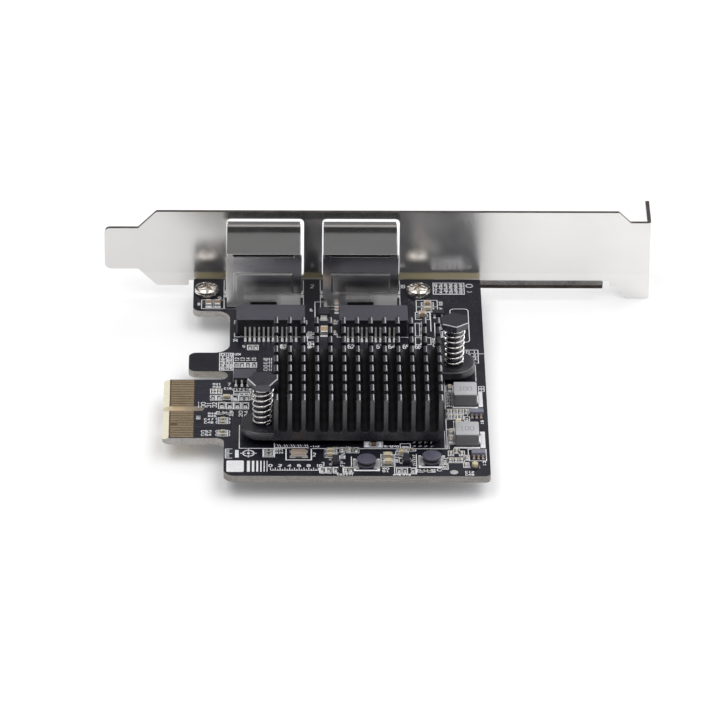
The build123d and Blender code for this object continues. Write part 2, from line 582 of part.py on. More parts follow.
with BuildPart() as transistor_leads:
    for x, y, along_y in transistor_spots:
        half = 0.65 if along_y else 0.75
        for s, offsets in ((-1, (-0.95, 0.95)), (1, (0.0,))):
            for off in offsets:
                reach = [(half + 0.02, 0.5), (half + 0.2, 0.5), (half + 0.3, 0.09), (half + 0.6, 0.09)]
                if along_y:
                    with BuildSketch(Plane.XZ.offset(-(Y0 + y + off))):
                        with BuildLine():
                            Polyline([(X0 + x + s * a, Z0 + b) for a, b in reach])
                        trace(line_width=0.12)
                else:
                    with BuildSketch(Plane.YZ.offset(X0 + x + off * 0.85)):
                        with BuildLine():
                            Polyline([(Y0 + y + s * a, Z0 + b) for a, b in reach])
                        trace(line_width=0.12)
                extrude(amount=0.2, both=True)
transistor_leads.part.label = "transistor_leads"
export_step(transistor_leads.part, "parts/transistor_leads.step")

surge_spot = (48.1, -17.3)
with BuildPart() as surge_diode:
    with Locations((X0 + surge_spot[0], Y0 + surge_spot[1], Z0 + 0.65)):
        Box(2.4, 2.8, 1.1)
surge_diode.part.label = "surge_diode"
export_step(surge_diode.part, "parts/surge_diode.step")

with BuildPart() as surge_diode_tabs:
    for s in (-1, 1):
        with Locations((X0 + surge_spot[0], Y0 + surge_spot[1] + s * 1.75, Z0 + 0.1)):
            Box(1.4, 0.66, 0.2)
        with Locations((X0 + surge_spot[0], Y0 + surge_spot[1] + s * 1.52, Z0 + 0.35)):
            Box(1.4, 0.2, 0.7)
surge_diode_tabs.part.label = "surge_diode_tabs"
export_step(surge_diode_tabs.part, "parts/surge_diode_tabs.step")

# ---------------------------------------------------------------- chip capacitors and resistors
# position from the bracket datums, long axis along X (h) or Y (v), case size
case = {"0402": (1.0, 0.5, 0.45), "0603": (1.6, 0.8, 0.75), "0805": (2.0, 1.25, 1.05)}
small_capacitors = [
    (27.2, -52.9, "h", "0603"), (26.5, -61.7, "h", "0402"), (26.5, -63.1, "h", "0402"),
    (26.5, -66.9, "h", "0402"), (26.5, -68.2, "h", "0402"), (24.3, -50.2, "v", "0402"),
    (25.6, -50.2, "v", "0402"), (32.7, -52.7, "v", "0402"), (49.2, -74.9, "h", "0603"),
    (49.2, -76.7, "h", "0603"), (64.2, -75.6, "h", "0603"), (64.2, -74.2, "h", "0402"),
    (66.1, -74.2, "h", "0402"), (74.8, -48.9, "v", "0603"), (74.3, -58.4, "v", "0402"),
    (75.6, -58.4, "v", "0402"), (76.9, -58.4, "v", "0402"), (74.3, -60.6, "v", "0402"),
    (75.6, -60.6, "v", "0402"), (76.9, -60.6, "v", "0402"), (78.15, -58.4, "v", "0402"),
    (74.5, -75.6, "v", "0402"), (75.7, -74.6, "v", "0402"), (76.8, -75.6, "v", "0402"),
    (74.3, -78.4, "v", "0402"), (75.5, -78.4, "v", "0402"), (76.7, -78.4, "v", "0402"),
    (77.8, -77.4, "v", "0402"), (77.6, -80.3, "v", "0402"), (74.7, -67.3, "v", "0603"),
    (74.6, -70.2, "v", "0603"), (70.8, -12.5, "h", "0603"), (70.8, -14.8, "h", "0603"),
    (69.6, -22.2, "v", "0603"), (69.6, -24.9, "v", "0603"), (50.9, -15.6, "v", "0603"),
    (50.5, -20.6, "v", "0402"), (50.5, -25.2, "v", "0402"), (51.6, -74.4, "v", "0402"),
    (53.2, -74.4, "v", "0402"), (52.3, -82.5, "v", "0402"),
]
large_capacitors = [
    (61.2, -77.2, 2.0, 1.25, 1.05), (61.2, -79.7, 2.0, 1.25, 1.05), (76.3, -63.9, 1.25, 2.0, 1.05),
    (69.6, -28.6, 1.25, 2.0, 1.05), (23.0, -12.9, 1.3, 2.0, 0.85), (24.9, -12.9, 1.3, 2.0, 0.85),
    (48.35, -25.1, 2.0, 2.6, 1.15), (69.6, -17.6, 1.7, 1.25, 1.05), (79.4, -81.2, 1.9, 1.4, 1.2),
]
resistors = [
    (24.3, -52.9, "v", "0402"), (25.6, -52.9, "v", "0402"), (29.0, -52.9, "v", "0603"),
    (30.4, -52.9, "v", "0402"), (31.5, -52.9, "v", "0402"), (26.2, -56.1, "v", "0603"),
    (27.9, -56.2, "v", "0603"), (29.5, -56.2, "v", "0603"), (31.2, -56.2, "v", "0603"),
    (26.1, -59.2, "h", "0402"), (27.6, -59.2, "h", "0402"), (29.2, -39.0, "v", "0402"),
    (30.4, -39.0, "v", "0402"), (31.7, -39.0, "v", "0402"), (33.0, -39.0, "v", "0402"),
    (36.2, -75.0, "h", "0402"), (36.2, -76.2, "h", "0402"), (47.4, -82.6, "v", "0402"),
    (48.7, -82.6, "v", "0402"), (50.2, -82.5, "v", "0402"), (54.6, -74.4, "v", "0402"),
    (53.4, -82.5, "v", "0402"), (63.5, -82.7, "v", "0402"), (64.7, -82.7, "v", "0402"),
    (66.4, -82.7, "v", "0402"), (68.3, -82.7, "h", "0402"), (69.8, -82.7, "h", "0402"),
    (63.0, -78.2, "v", "0402"), (32.1, -31.5, "v", "0402"), (33.3, -31.5, "v", "0402"),
    (39.5, -31.5, "v", "0402"), (40.6, -31.5, "v", "0402"), (45.7, -25.3, "h", "0402"),
    (45.7, -26.9, "h", "0402"), (73.3, -22.4, "v", "0402"), (73.3, -25.5, "v", "0402"),
    (78.2, -61.4, "v", "0402"), (73.2, -78.7, "v", "0402"), (73.2, -81.1, "v", "0402"),
]
for name, parts in (("ceramic_capacitors_small", small_capacitors), ("chip_resistors", resistors)):
    with BuildPart() as chips:
        for x, y, lie, size in parts:
            long, wide, tall = case[size]
            if name == "chip_resistors":
                tall = 0.36
            with Locations((X0 + x, Y0 + y, Z0 + tall / 2)):
                Box(long if lie == "h" else wide, wide if lie == "h" else long, tall)
    chips.part.label = name
    export_step(chips.part, f"parts/{name}.step")

with BuildPart() as ceramic_capacitors_large:
    for x, y, w, d, h in large_capacitors:
        with Locations((X0 + x, Y0 + y, Z0 + h / 2)):
            Box(w, d, h)
ceramic_capacitors_large.part.label = "ceramic_capacitors_large"
export_step(ceramic_capacitors_large.part, "parts/ceramic_capacitors_large.step")
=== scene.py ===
import bpy
import math
import random
from mathutils import Matrix, Vector


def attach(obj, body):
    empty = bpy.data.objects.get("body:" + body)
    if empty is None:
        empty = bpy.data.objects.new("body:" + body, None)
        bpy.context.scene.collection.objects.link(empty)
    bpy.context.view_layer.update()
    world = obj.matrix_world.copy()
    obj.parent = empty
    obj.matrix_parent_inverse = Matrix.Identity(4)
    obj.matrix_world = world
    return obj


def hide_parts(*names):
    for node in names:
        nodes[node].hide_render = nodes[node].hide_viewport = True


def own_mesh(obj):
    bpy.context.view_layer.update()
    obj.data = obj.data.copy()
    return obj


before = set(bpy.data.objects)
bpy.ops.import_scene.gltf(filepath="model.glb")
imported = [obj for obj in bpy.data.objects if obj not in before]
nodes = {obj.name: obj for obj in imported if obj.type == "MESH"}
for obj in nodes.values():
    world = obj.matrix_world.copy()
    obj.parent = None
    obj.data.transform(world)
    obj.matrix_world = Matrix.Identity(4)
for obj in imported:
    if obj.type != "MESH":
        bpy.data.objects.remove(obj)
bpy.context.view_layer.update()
CARD = "card"

# ------------------------------------------------------------------ frame
# Card measures, in millimetres: x from the bracket's tongue end, y from the
# bracket's inner face (ports towards +y), z from the component face.
X0, Y0, Z0 = -60.01, 36.71, 5.5
BOARD_T = 1.57


def P(x, y, z=0.0):
    return ((X0 + x) / 1000.0, (Y0 + y) / 1000.0, (Z0 + z) / 1000.0)


# ------------------------------------------------------------------ camera
YAW, PITCH, ROLL = 0.0161, 0.5281, 0.0106
DISTANCE, TARGET_X, TARGET_Z, FOCAL_PX = 1371.42, 55.7475, 1.8966, 6385.75
cy, sy, cp, sp = math.cos(YAW), math.sin(YAW), math.cos(PITCH), math.sin(PITCH)
look = Vector((sy * cp, cy * cp, -sp))
side = Vector((cy, -sy, 0.0))
up = side.cross(look)
right = math.cos(ROLL) * side + math.sin(ROLL) * up
over = -math.sin(ROLL) * side + math.cos(ROLL) * up
eye = Vector(P(TARGET_X, -40.0, TARGET_Z)) - look * (DISTANCE / 1000.0)
camera_data = bpy.data.cameras.new("camera")
camera = bpy.data.objects.new("camera", camera_data)
bpy.context.scene.collection.objects.link(camera)
camera.matrix_world = Matrix((
    (right.x, over.x, -look.x, eye.x),
    (right.y, over.y, -look.y, eye.y),
    (right.z, over.z, -look.z, eye.z),
    (0.0, 0.0, 0.0, 1.0)))
camera_data.sensor_width = 36.0
camera_data.lens = FOCAL_PX * 36.0 / 720.0
camera_data.clip_start = 0.02
camera_data.clip_end = 20.0
bpy.context.scene.camera = camera


# ------------------------------------------------------------------ materials
def srgb(r, g, b):
    out = []
    for c in (r, g, b):
        c = c / 255.0
        out.append(c / 12.92 if c <= 0.04045 else ((c + 0.055) / 1.055) ** 2.4)
    return (*out, 1.0)


def scaled(c, k):
    return (min(c[0] * k, 1.0), min(c[1] * k, 1.0), min(c[2] * k, 1.0), 1.0)


class Nodes:
    """Small helper round a material's node tree."""

    def __init__(self, name):
        self.m = bpy.data.materials.new(name)
        self.m.use_nodes = True
        self.t = self.m.node_tree
        self.t.nodes.clear()
        self.out = self.t.nodes.new("ShaderNodeOutputMaterial")
        self.b = self.t.nodes.new("ShaderNodeBsdfPrincipled")
        self.link(self.b.outputs["BSDF"], self.out.inputs["Surface"])
        self.tc = self.t.nodes.new("ShaderNodeTexCoord")

    def link(self, a, b):
        self.t.links.new(a, b)

    def place(self, stretch=(1, 1, 1), turn=0.0):
        mp = self.t.nodes.new("ShaderNodeMapping")
        mp.inputs["Scale"].default_value = stretch
        mp.inputs["Rotation"].default_value = (0, 0, turn)
        self.link(self.tc.outputs["Object"], mp.inputs["Vector"])
        return mp.outputs["Vector"]

    def noise(self, scale, detail=2.0, rough=0.5, stretch=(1, 1, 1), distortion=0.0, turn=0.0):
        n = self.t.nodes.new("ShaderNodeTexNoise")
        n.inputs["Scale"].default_value = scale
        n.inputs["Detail"].default_value = detail
        n.inputs["Roughness"].default_value = rough
        n.inputs["Distortion"].default_value = distortion
        self.link(self.place(stretch, turn), n.inputs["Vector"])
        return n.outputs["Fac"]

    def remap(self, value, a0, a1, b0, b1, smooth=False):
        n = self.t.nodes.new("ShaderNodeMapRange")
        if smooth:
            n.interpolation_type = "SMOOTHSTEP"
        n.inputs["From Min"].default_value = a0
        n.inputs["From Max"].default_value = a1
        n.inputs["To Min"].default_value = b0
        n.inputs["To Max"].default_value = b1
        self.link(value, n.inputs["Value"])
        return n.outputs["Result"]

    def mix(self, fac, a, b):
        n = self.t.nodes.new("ShaderNodeMix")
        n.data_type = "RGBA"
        for socket, v in ((n.inputs[0], fac), (n.inputs[6], a), (n.inputs[7], b)):
            if isinstance(v, (tuple, list)):
                socket.default_value = v
            elif isinstance(v, (int, float)):
                socket.default_value = v
            else:
                self.link(v, socket)
        return n.outputs[2]

    def math(self, op, a, b=None):
        n = self.t.nodes.new("ShaderNodeMath")
        n.operation = op
        for i, v in enumerate((a, b)):
            if v is None:
                continue
            if isinstance(v, (int, float)):
                n.inputs[i].default_value = v
            else:
                self.link(v, n.inputs[i])
        return n.outputs[0]

    def bump(self, height, strength, distance, under=None):
        n = self.t.nodes.new("ShaderNodeBump")
        n.inputs["Strength"].default_value = strength
        n.inputs["Distance"].default_value = distance
        self.link(height, n.inputs["Height"])
        if under is not None:
            self.link(under, n.inputs["Normal"])
        return n.outputs["Normal"]


def finish(name, colour, rough, metal=0.0, ior=1.5, vary=0.10, vary_scale=350.0, grain=0.06, grain_scale=9000.0,
           rough_vary=0.06, rough_scale=900.0, bump=0.15, bump_mm=0.01, bump_scale=7000.0, wave=0.0, wave_mm=0.02,
           wave_scale=180.0, coat=0.0, coat_rough=0.1, stretch=(1, 1, 1), tint=None, specular=0.5,
           transmission=0.0, emission=None, painted_side_colour=None, head_edge_highlight=None):
    """A surface with broad and fine colour variation, uneven gloss, a fine grain and an optional slow wave."""
    k = Nodes(name)
    b = k.b
    dark, light = scaled(colour, 1.0 - vary), scaled(colour, 1.0 + vary)
    broad = k.noise(vary_scale, 3.0, 0.55, stretch)
    c = k.mix(k.remap(broad, 0.3, 0.7, 0.0, 1.0), dark, light)
    if tint is not None:
        c = k.mix(k.remap(k.noise(vary_scale * 0.6, 2.0, 0.6), 0.55, 0.8, 0.0, 0.6), c, tint)
    fine = k.noise(grain_scale, 2.0, 0.6, stretch)
    c = k.mix(k.remap(fine, 0.35, 0.7, 0.0, grain), c, scaled(colour, 1.9) if sum(colour[:3]) < 1.2 else scaled(colour, 0.6))
    if painted_side_colour is not None:
        # side faces take their own colour, lighter or darker than the top: painted light and painted shade on the sides
        geo = k.t.nodes.new("ShaderNodeNewGeometry")
        n = k.t.nodes.new("ShaderNodeSeparateXYZ")
        k.link(geo.outputs["True Normal"], n.inputs[0])
        side = k.remap(k.math("ABSOLUTE", n.outputs["Z"]), 0.75, 0.55, 0.0, 1.0)
        c = k.mix(side, c, k.mix(k.remap(broad, 0.3, 0.7, 0.0, 1.0), scaled(painted_side_colour, 1.0 - vary), scaled(painted_side_colour, 1.0 + vary)))
        if head_edge_highlight is not None:
            # painted highlight: the hexagon heads' edges that face forward are painted pale
            highlight_colour, heads, apothem, above = head_edge_highlight
            place = k.t.nodes.new("ShaderNodeSeparateXYZ")
            k.link(k.tc.outputs["Object"], place.inputs[0])
            high = k.remap(place.outputs["Z"], above, above + 0.00004, 0.0, 1.0)
            for hx, hy, angles in heads:
                dx, dy = k.math("ADD", place.outputs["X"], -hx), k.math("ADD", place.outputs["Y"], -hy)
                near = k.remap(k.math("ABSOLUTE", dx), 0.0045, 0.0040, 0.0, 1.0)
                for angle in angles:
                    a = math.radians(angle)
                    d = k.math("ADD", k.math("MULTIPLY", dx, math.cos(a)), k.math("MULTIPLY", dy, math.sin(a)))
                    highlight_line = k.math("MULTIPLY", near, k.remap(d, apothem - 0.00018, apothem - 0.00011, 0.0, 0.9))
                    c = k.mix(k.math("MULTIPLY", highlight_line, high), c, highlight_colour)
    k.link(c, b.inputs["Base Color"])
    r = k.noise(rough_scale, 3.0, 0.6, stretch)
    k.link(k.remap(r, 0.3, 0.7, max(rough - rough_vary, 0.02), min(rough + rough_vary, 1.0)), b.inputs["Roughness"])
    b.inputs["Metallic"].default_value = metal
    b.inputs["IOR"].default_value = ior
    b.inputs["Specular IOR Level"].default_value = specular
    if coat:
        b.inputs["Coat Weight"].default_value = coat
        b.inputs["Coat Roughness"].default_value = coat_rough
    if transmission:
        b.inputs["Transmission Weight"].default_value = transmission
    if emission:
        b.inputs["Emission Color"].default_value = emission[0]
        b.inputs["Emission Strength"].default_value = emission[1]
    normal = None
    if wave:
        normal = k.bump(k.noise(wave_scale, 1.0, 0.4), wave, wave_mm / 1000.0)
    if bump:
        normal = k.bump(k.noise(bump_scale, 2.0, 0.55, stretch), bump, bump_mm / 1000.0, normal)
    if normal is not None:
        k.link(normal, b.inputs["Normal"])
    return k.m


def board_material():
    """Solder mask on the faces, routed laminate on the sides, pale laminate on the plug-in bevel."""
    k = Nodes("board")
    geo = k.t.nodes.new("ShaderNodeNewGeometry")
    sep = k.t.nodes.new("ShaderNodeSeparateXYZ")
    k.link(geo.outputs["True Normal"], sep.inputs[0])
    level = k.math("ABSOLUTE", sep.outputs["Z"])
    is_mask = k.remap(level, 0.975, 0.99, 0.0, 1.0)
    is_bevel = k.remap(level, 0.5, 0.6, 0.0, 1.0)
    # mask: near-black navy, slightly lighter over copper, with the glass weave just showing
    broad = k.noise(120.0, 4.0, 0.6)
    mask = k.mix(k.remap(broad, 0.35, 0.65, 0.0, 1.0), srgb(19, 19, 28), srgb(27, 27, 38))
    weave_a = k.noise(1500.0, 1.0, 0.4, (1, 0.12, 1))
    weave_b = k.noise(1500.0, 1.0, 0.4, (0.12, 1, 1))
    weave = k.math("ADD", weave_a, weave_b)
    mask = k.mix(k.remap(weave, 0.85, 1.2, 0.0, 0.22), mask, srgb(38, 38, 52))
    # routed side: pale dusty laminate in thin layers
    layers = k.noise(420.0, 3.0, 0.7, (1, 1, 9))
    dust = k.noise(2600.0, 3.0, 0.7)
    edge = k.mix(k.remap(layers, 0.35, 0.65, 0.0, 1.0), srgb(152, 146, 140), srgb(190, 186, 183))
    edge = k.mix(k.remap(dust, 0.42, 0.7, 0.0, 0.55), edge, srgb(206, 204, 203))
    bevel = k.mix(k.remap(dust, 0.35, 0.65, 0.0, 1.0), srgb(226, 218, 186), srgb(241, 238, 220))
    place = k.t.nodes.new("ShaderNodeSeparateXYZ")
    k.link(k.tc.outputs["Object"], place.inputs[0])
    # the side faces are darker towards the front; the wall of the key slot is painted lighter towards its mouth,
    # painted light on a wall in shade
    edge = k.mix(k.remap(place.outputs["Y"], -0.036, -0.042, 0.0, 0.5), edge, srgb(95, 90, 85))
    in_slot = k.math("MULTIPLY", k.remap(place.outputs["Y"], -0.0221, -0.0218, 0.0, 1.0), k.remap(place.outputs["Y"], -0.0192, -0.0195, 0.0, 1.0))
    in_slot = k.math("MULTIPLY", in_slot, k.remap(place.outputs["X"], -0.0385, -0.0425, 0.0, 1.0))
    slot_wall_painted_light = k.mix(k.remap(place.outputs["X"], -0.0462, -0.0436, 0.0, 1.0), srgb(252, 248, 222), srgb(232, 208, 178))
    edge = k.mix(in_slot, edge, slot_wall_painted_light)
    side_colour = k.mix(is_bevel, edge, bevel)
    # painted light: side faces turned towards the bracket are painted pale cream, standing in for light thrown back by
    # the bracket
    back_sides_painted_light = k.remap(sep.outputs["Y"], 0.8, 0.95, 0.0, 1.0)
    side_colour = k.mix(back_sides_painted_light, side_colour, srgb(246, 236, 200))
    k.link(k.mix(is_mask, side_colour, mask), k.b.inputs["Base Color"])
    k.link(k.math("ADD", k.math("MULTIPLY", is_mask, -0.46), k.remap(broad, 0.3, 0.7, 0.74, 0.84)), k.b.inputs["Roughness"])
    k.b.inputs["IOR"].default_value = 1.48
    n1 = k.bump(k.noise(2200.0, 2.0, 0.5), 0.12, 0.00001)
    n2 = k.bump(weave, 0.10, 0.000012, n1)
    k.link(n2, k.b.inputs["Normal"])
    return k.m


def bracket_material():
    """Bright nickel on pressed steel: a satin mirror with a fine grain, faint drawing lines and dull sheared edges."""
    k = Nodes("nickel_bracket")
    place = k.t.nodes.new("ShaderNodeSeparateXYZ")
    k.link(k.tc.outputs["Object"], place.inputs[0])
    geo = k.t.nodes.new("ShaderNodeNewGeometry")
    n = k.t.nodes.new("ShaderNodeSeparateXYZ")
    k.link(geo.outputs["True Normal"], n.inputs[0])
    broad = k.noise(60.0, 3.0, 0.5)
    base = k.mix(k.remap(broad, 0.3, 0.7, 0.0, 1.0), (0.755, 0.745, 0.732, 1), (0.820, 0.810, 0.800, 1))
    # painted reflection: the left end is darker, standing in for the dimmer floor it mirrors
    base = k.mix(k.remap(place.outputs["X"], -0.022, 0.012, 0.0, 1.0, True), k.mix(broad, (0.700, 0.689, 0.677, 1), (0.755, 0.744, 0.732, 1)), base)
    lines = k.noise(900.0, 3.0, 0.6, (0.04, 1, 1))
    base = k.mix(k.remap(lines, 0.4, 0.75, 0.0, 0.18), base, (0.68, 0.665, 0.65, 1))
    # painted dark reflection along the top, above the ports
    over = k.math("MULTIPLY", k.remap(place.outputs["X"], -0.0342, -0.0334, 0.0, 1.0), k.remap(place.outputs["X"], 0.0052, 0.0044, 0.0, 1.0))
    over = k.math("MULTIPLY", over, k.remap(place.outputs["Z"], 0.0195, 0.0200, 0.0, 0.55))
    base = k.mix(over, base, (0.02, 0.02, 0.02, 1))
    # sheared steel on the upward edges of the plate and the front of the lip and ears, its brown darkened further as
    # painted shade
    upward = k.remap(k.math("ABSOLUTE", n.outputs["Z"]), 0.55, 0.65, 0.0, 1.0)
    high = k.remap(place.outputs["Z"], 0.0062, 0.0064, 0.0, 1.0)
    forward = k.remap(k.math("ABSOLUTE", n.outputs["Y"]), 0.55, 0.65, 0.0, 1.0)
    low = k.remap(place.outputs["Y"], 0.03620, 0.03615, 0.0, 1.0)
    cut = k.math("MAXIMUM", k.math("MULTIPLY", upward, high), k.math("MULTIPLY", forward, low))
    rust = k.noise(1500.0, 3.0, 0.7, (0.3, 1, 1))
    cut_steel_and_shade = k.mix(k.remap(rust, 0.35, 0.65, 0.0, 1.0), (0.028, 0.023, 0.021, 1), (0.056, 0.048, 0.043, 1))
    cut_steel_and_shade = k.mix(upward, cut_steel_and_shade, k.mix(k.remap(rust, 0.35, 0.65, 0.0, 1.0), (0.098, 0.082, 0.073, 1), (0.185, 0.165, 0.148, 1)))
    k.link(k.mix(cut, base, cut_steel_and_shade), k.b.inputs["Base Color"])
    # a slight haze of handling everywhere but round the openings, on the lip and on the cuts
    inner = k.math("MULTIPLY", k.remap(place.outputs["X"], -0.0342, -0.0334, 0.0, 1.0), k.remap(place.outputs["X"], 0.0052, 0.0044, 0.0, 1.0))
    clean = k.math("MAXIMUM", inner, k.math("MAXIMUM", cut, k.remap(place.outputs["Z"], 0.0064, 0.0060, 0.0, 1.0)))
    k.link(k.remap(clean, 0.0, 1.0, 0.905, 1.0), k.b.inputs["Metallic"])
    rough = k.remap(k.noise(260.0, 3.0, 0.6), 0.3, 0.7, 0.175, 0.225)
    k.link(k.math("ADD", rough, k.math("MULTIPLY", cut, 0.22)), k.b.inputs["Roughness"])
    n1 = k.bump(k.noise(70.0, 1.0, 0.4), 0.25, 0.00004)
    n2 = k.bump(lines, 0.05, 0.000006, n1)
    n3 = k.bump(k.noise(4200.0, 2.0, 0.6), 0.42, 0.000010, n2)
    k.link(n3, k.b.inputs["Normal"])
    return k.m


def shield_material():
    """Bright nickel sheet: mirror-like roof, more worn and wavy walls, painted reflections and painted shade on the
    rear wall, a painted highlight along the roof.
    """
    k = Nodes("shield_nickel")
    geo = k.t.nodes.new("ShaderNodeNewGeometry")
    n = k.t.nodes.new("ShaderNodeSeparateXYZ")
    k.link(geo.outputs["True Normal"], n.inputs[0])
    wall = k.remap(k.math("ABSOLUTE", n.outputs["Z"]), 0.9, 0.6, 0.0, 1.0)
    broad = k.noise(130.0, 3.0, 0.5)
    base = k.mix(k.remap(broad, 0.3, 0.7, 0.0, 1.0), (0.635, 0.625, 0.62, 1), (0.69, 0.68, 0.675, 1))
    base = k.mix(wall, base, (0.80, 0.79, 0.785, 1))
    # rear wall: painted reflections, light above the pressed panel, darker in its middle, bright again under it, with
    # painted shade round its folds
    place = k.t.nodes.new("ShaderNodeSeparateXYZ")
    k.link(k.tc.outputs["Object"], place.inputs[0])
    rear = k.remap(n.outputs["Y"], -0.45, -0.65, 0.0, 1.0)
    slow = k.noise(150.0, 2.0, 0.5, (0.45, 1, 1))
    z = k.math("ADD", place.outputs["Z"], k.math("MULTIPLY", k.math("ADD", slow, -0.5), 0.0022))
    right = k.remap(place.outputs["X"], -0.0150, -0.0140, 0.0, 1.0)
    upper_painted_reflection = k.mix(right, (1.0, 0.99, 0.985, 1), (0.90, 0.89, 0.885, 1))
    middle = k.mix(right, (0.58, 0.575, 0.58, 1), (0.50, 0.495, 0.49, 1))
    across = k.math("ADD", place.outputs["X"], k.math("ADD", k.math("MULTIPLY", right, -0.02112), 0.02501))
    left_third = k.remap(across, -0.0008, -0.0048, 0.0, 1.0)
    right_third = k.remap(across, 0.0018, 0.0040, 0.0, 1.0)
    middle = k.mix(left_third, middle, k.mix(right, (1.0, 0.99, 0.985, 1), (0.90, 0.89, 0.885, 1)))
    tone = k.mix(k.remap(z, 0.0104, 0.0116, 0.0, 1.0), (1.0, 0.99, 0.99, 1), middle)
    tone = k.mix(k.remap(z, 0.0136, 0.0142, 0.0, 1.0), tone, k.mix(right, (0.95, 0.94, 0.935, 1), (0.80, 0.795, 0.79, 1)))
    tone = k.mix(k.remap(z, 0.0144, 0.0170, 0.0, 1.0), tone, upper_painted_reflection)
    tone = k.mix(k.remap(z, 0.0092, 0.0087, 0.0, 1.0), tone, (1.0, 0.99, 0.98, 1))
    base = k.mix(rear, base, tone)
    fold = k.math("MULTIPLY", rear, k.math("MULTIPLY", k.remap(n.outputs["Z"], 0.35, 0.5, 0.0, 1.0), k.remap(place.outputs["Z"], 0.0165, 0.0160, 0.0, 1.0)))
    # painted shade on the sloped edge along the top of the rear wall
    sill = k.math("MULTIPLY", k.remap(n.outputs["Z"], 0.35, 0.5, 0.0, 1.0), k.math("MULTIPLY", k.remap(place.outputs["Z"], 0.01855, 0.01845, 0.0, 1.0),
                                                                                 k.remap(place.outputs["Y"], 0.0234, 0.0230, 0.0, 1.0)))
    base = k.mix(sill, base, (0.10, 0.10, 0.10, 1))
    # painted shade on the slopes between the rear wall and the side walls
    side_fold = k.math("MULTIPLY", k.remap(n.outputs["Y"], -0.3, -0.4, 0.0, 1.0), k.remap(k.math("ABSOLUTE", n.outputs["X"]), 0.35, 0.5, 0.0, 1.0))
    base = k.mix(fold, base, k.mix(right, (0.25, 0.25, 0.25, 1), (0.14, 0.14, 0.14, 1)))
    base = k.mix(side_fold, base, (0.21, 0.21, 0.21, 1))
    # painted highlight: a bright line along the roof's far edge
    band = k.math("MULTIPLY", k.remap(place.outputs["Y"], 0.0345, 0.0349, 0.0, 1.0), k.remap(place.outputs["Y"], 0.0360, 0.0356, 0.0, 1.0))
    band = k.math("MULTIPLY", band, k.remap(n.outputs["Z"], 0.9, 0.97, 0.0, 1.0))
    base = k.mix(band, base, (0.96, 0.95, 0.945, 1))
    fine = k.noise(5200.0, 3.0, 0.65)
    base = k.mix(k.remap(fine, 0.4, 0.75, 0.0, 0.25), base, (0.52, 0.515, 0.51, 1))
    k.link(base, k.b.inputs["Base Color"])
    # scuffed and so less mirror-like low down, most of all at the right, and down the left port's left side
    scuffed = k.math("MULTIPLY", k.remap(place.outputs["Z"], 0.0092, 0.0084, 0.0, 1.0), k.math("ADD", k.math("MULTIPLY", right_third, 0.58), 0.10))
    handled = k.math("MULTIPLY", k.math("MULTIPLY", left_third, k.remap(right, 0.0, 1.0, 0.24, 0.06)), k.remap(place.outputs["Z"], 0.0165, 0.0145, 0.0, 1.0))
    dull = k.math("ADD", k.math("MULTIPLY", rear, k.math("MAXIMUM", scuffed, handled)), k.math("MULTIPLY", band, 0.30))
    k.link(k.math("ADD", k.math("MULTIPLY", dull, -1.0), 1.0), k.b.inputs["Metallic"])
    smooth = k.remap(k.noise(210.0, 3.0, 0.6), 0.3, 0.7, 0.12, 0.17)
    k.link(k.math("ADD", smooth, k.math("MULTIPLY", wall, 0.10)), k.b.inputs["Roughness"])
    n1 = k.bump(k.noise(170.0, 1.0, 0.4), 0.5, 0.00004)
    n2 = k.bump(k.noise(420.0, 2.0, 0.5, (0.5, 1, 1.6)), 0.30, 0.00003, n1)
    k.link(k.bump(fine, 0.16, 0.000009, n2), k.b.inputs["Normal"])
    return k.m


M = {}
M["board"] = board_material()
M["bracket"] = bracket_material()
M["trace"] = finish("mask_over_copper", srgb(40, 40, 52), 0.34, vary=0.12, vary_scale=300, bump=0.1, bump_mm=0.006, ior=1.52)
M["via"] = finish("tented_via", srgb(58, 57, 66), 0.4, vary=0.2, vary_scale=900, bump=0.1)
M["hole"] = finish("via_hole", srgb(12, 12, 14), 0.6, vary=0.2, bump=0.1)
M["silk"] = finish("white_ink", srgb(238, 238, 240), 0.62, vary=0.06, vary_scale=1500, grain=0.22, grain_scale=12000,
                   bump=0.35, bump_mm=0.01, bump_scale=9000)
M["silk_dim"] = finish("worn_white_ink", srgb(150, 150, 156), 0.66, vary=0.15, vary_scale=1500, grain=0.3, grain_scale=12000,
                       bump=0.35, bump_mm=0.01, bump_scale=9000)
# painted light: ink that glows, for marks in the shade under the heatsink
M["silk_low"] = finish("white_ink_painted_glow", srgb(214, 214, 220), 0.62, vary=0.06, vary_scale=1500, grain=0.2, grain_scale=12000,
                       bump=0.2, bump_mm=0.006, emission=((0.92, 0.92, 1.0, 1), 0.30))
M["laminate"] = finish("bare_laminate", srgb(86, 68, 44), 0.55, vary=0.12, vary_scale=1500, bump=0.3, bump_mm=0.01)
M["gold"] = finish("edge_gold", srgb(222, 201, 168), 0.30, metal=1.0, vary=0.05, vary_scale=300, rough_vary=0.05,
                   stretch=(0.2, 1, 1), grain=0.03, bump=0.12, bump_mm=0.005, tint=srgb(176, 146, 106))
M["tin"] = finish("tinned_lead", srgb(230, 229, 227), 0.36, metal=0.68, vary=0.10, vary_scale=900, rough_vary=0.10, bump=0.25, bump_mm=0.01)
M["solder"] = finish("solder", srgb(214, 214, 216), 0.30, metal=0.68, vary=0.14, vary_scale=1300, rough_vary=0.12,
                     bump=0.35, bump_mm=0.015, bump_scale=4000)
M["pad"] = finish("tinned_pad", srgb(222, 221, 220), 0.34, metal=0.62, vary=0.12, vary_scale=1500, bump=0.3, bump_mm=0.01)
M["copper"] = finish("bare_copper_edge", srgb(186, 128, 92), 0.34, metal=1.0, vary=0.12, vary_scale=1500, bump=0.2)
M["shield"] = shield_material()
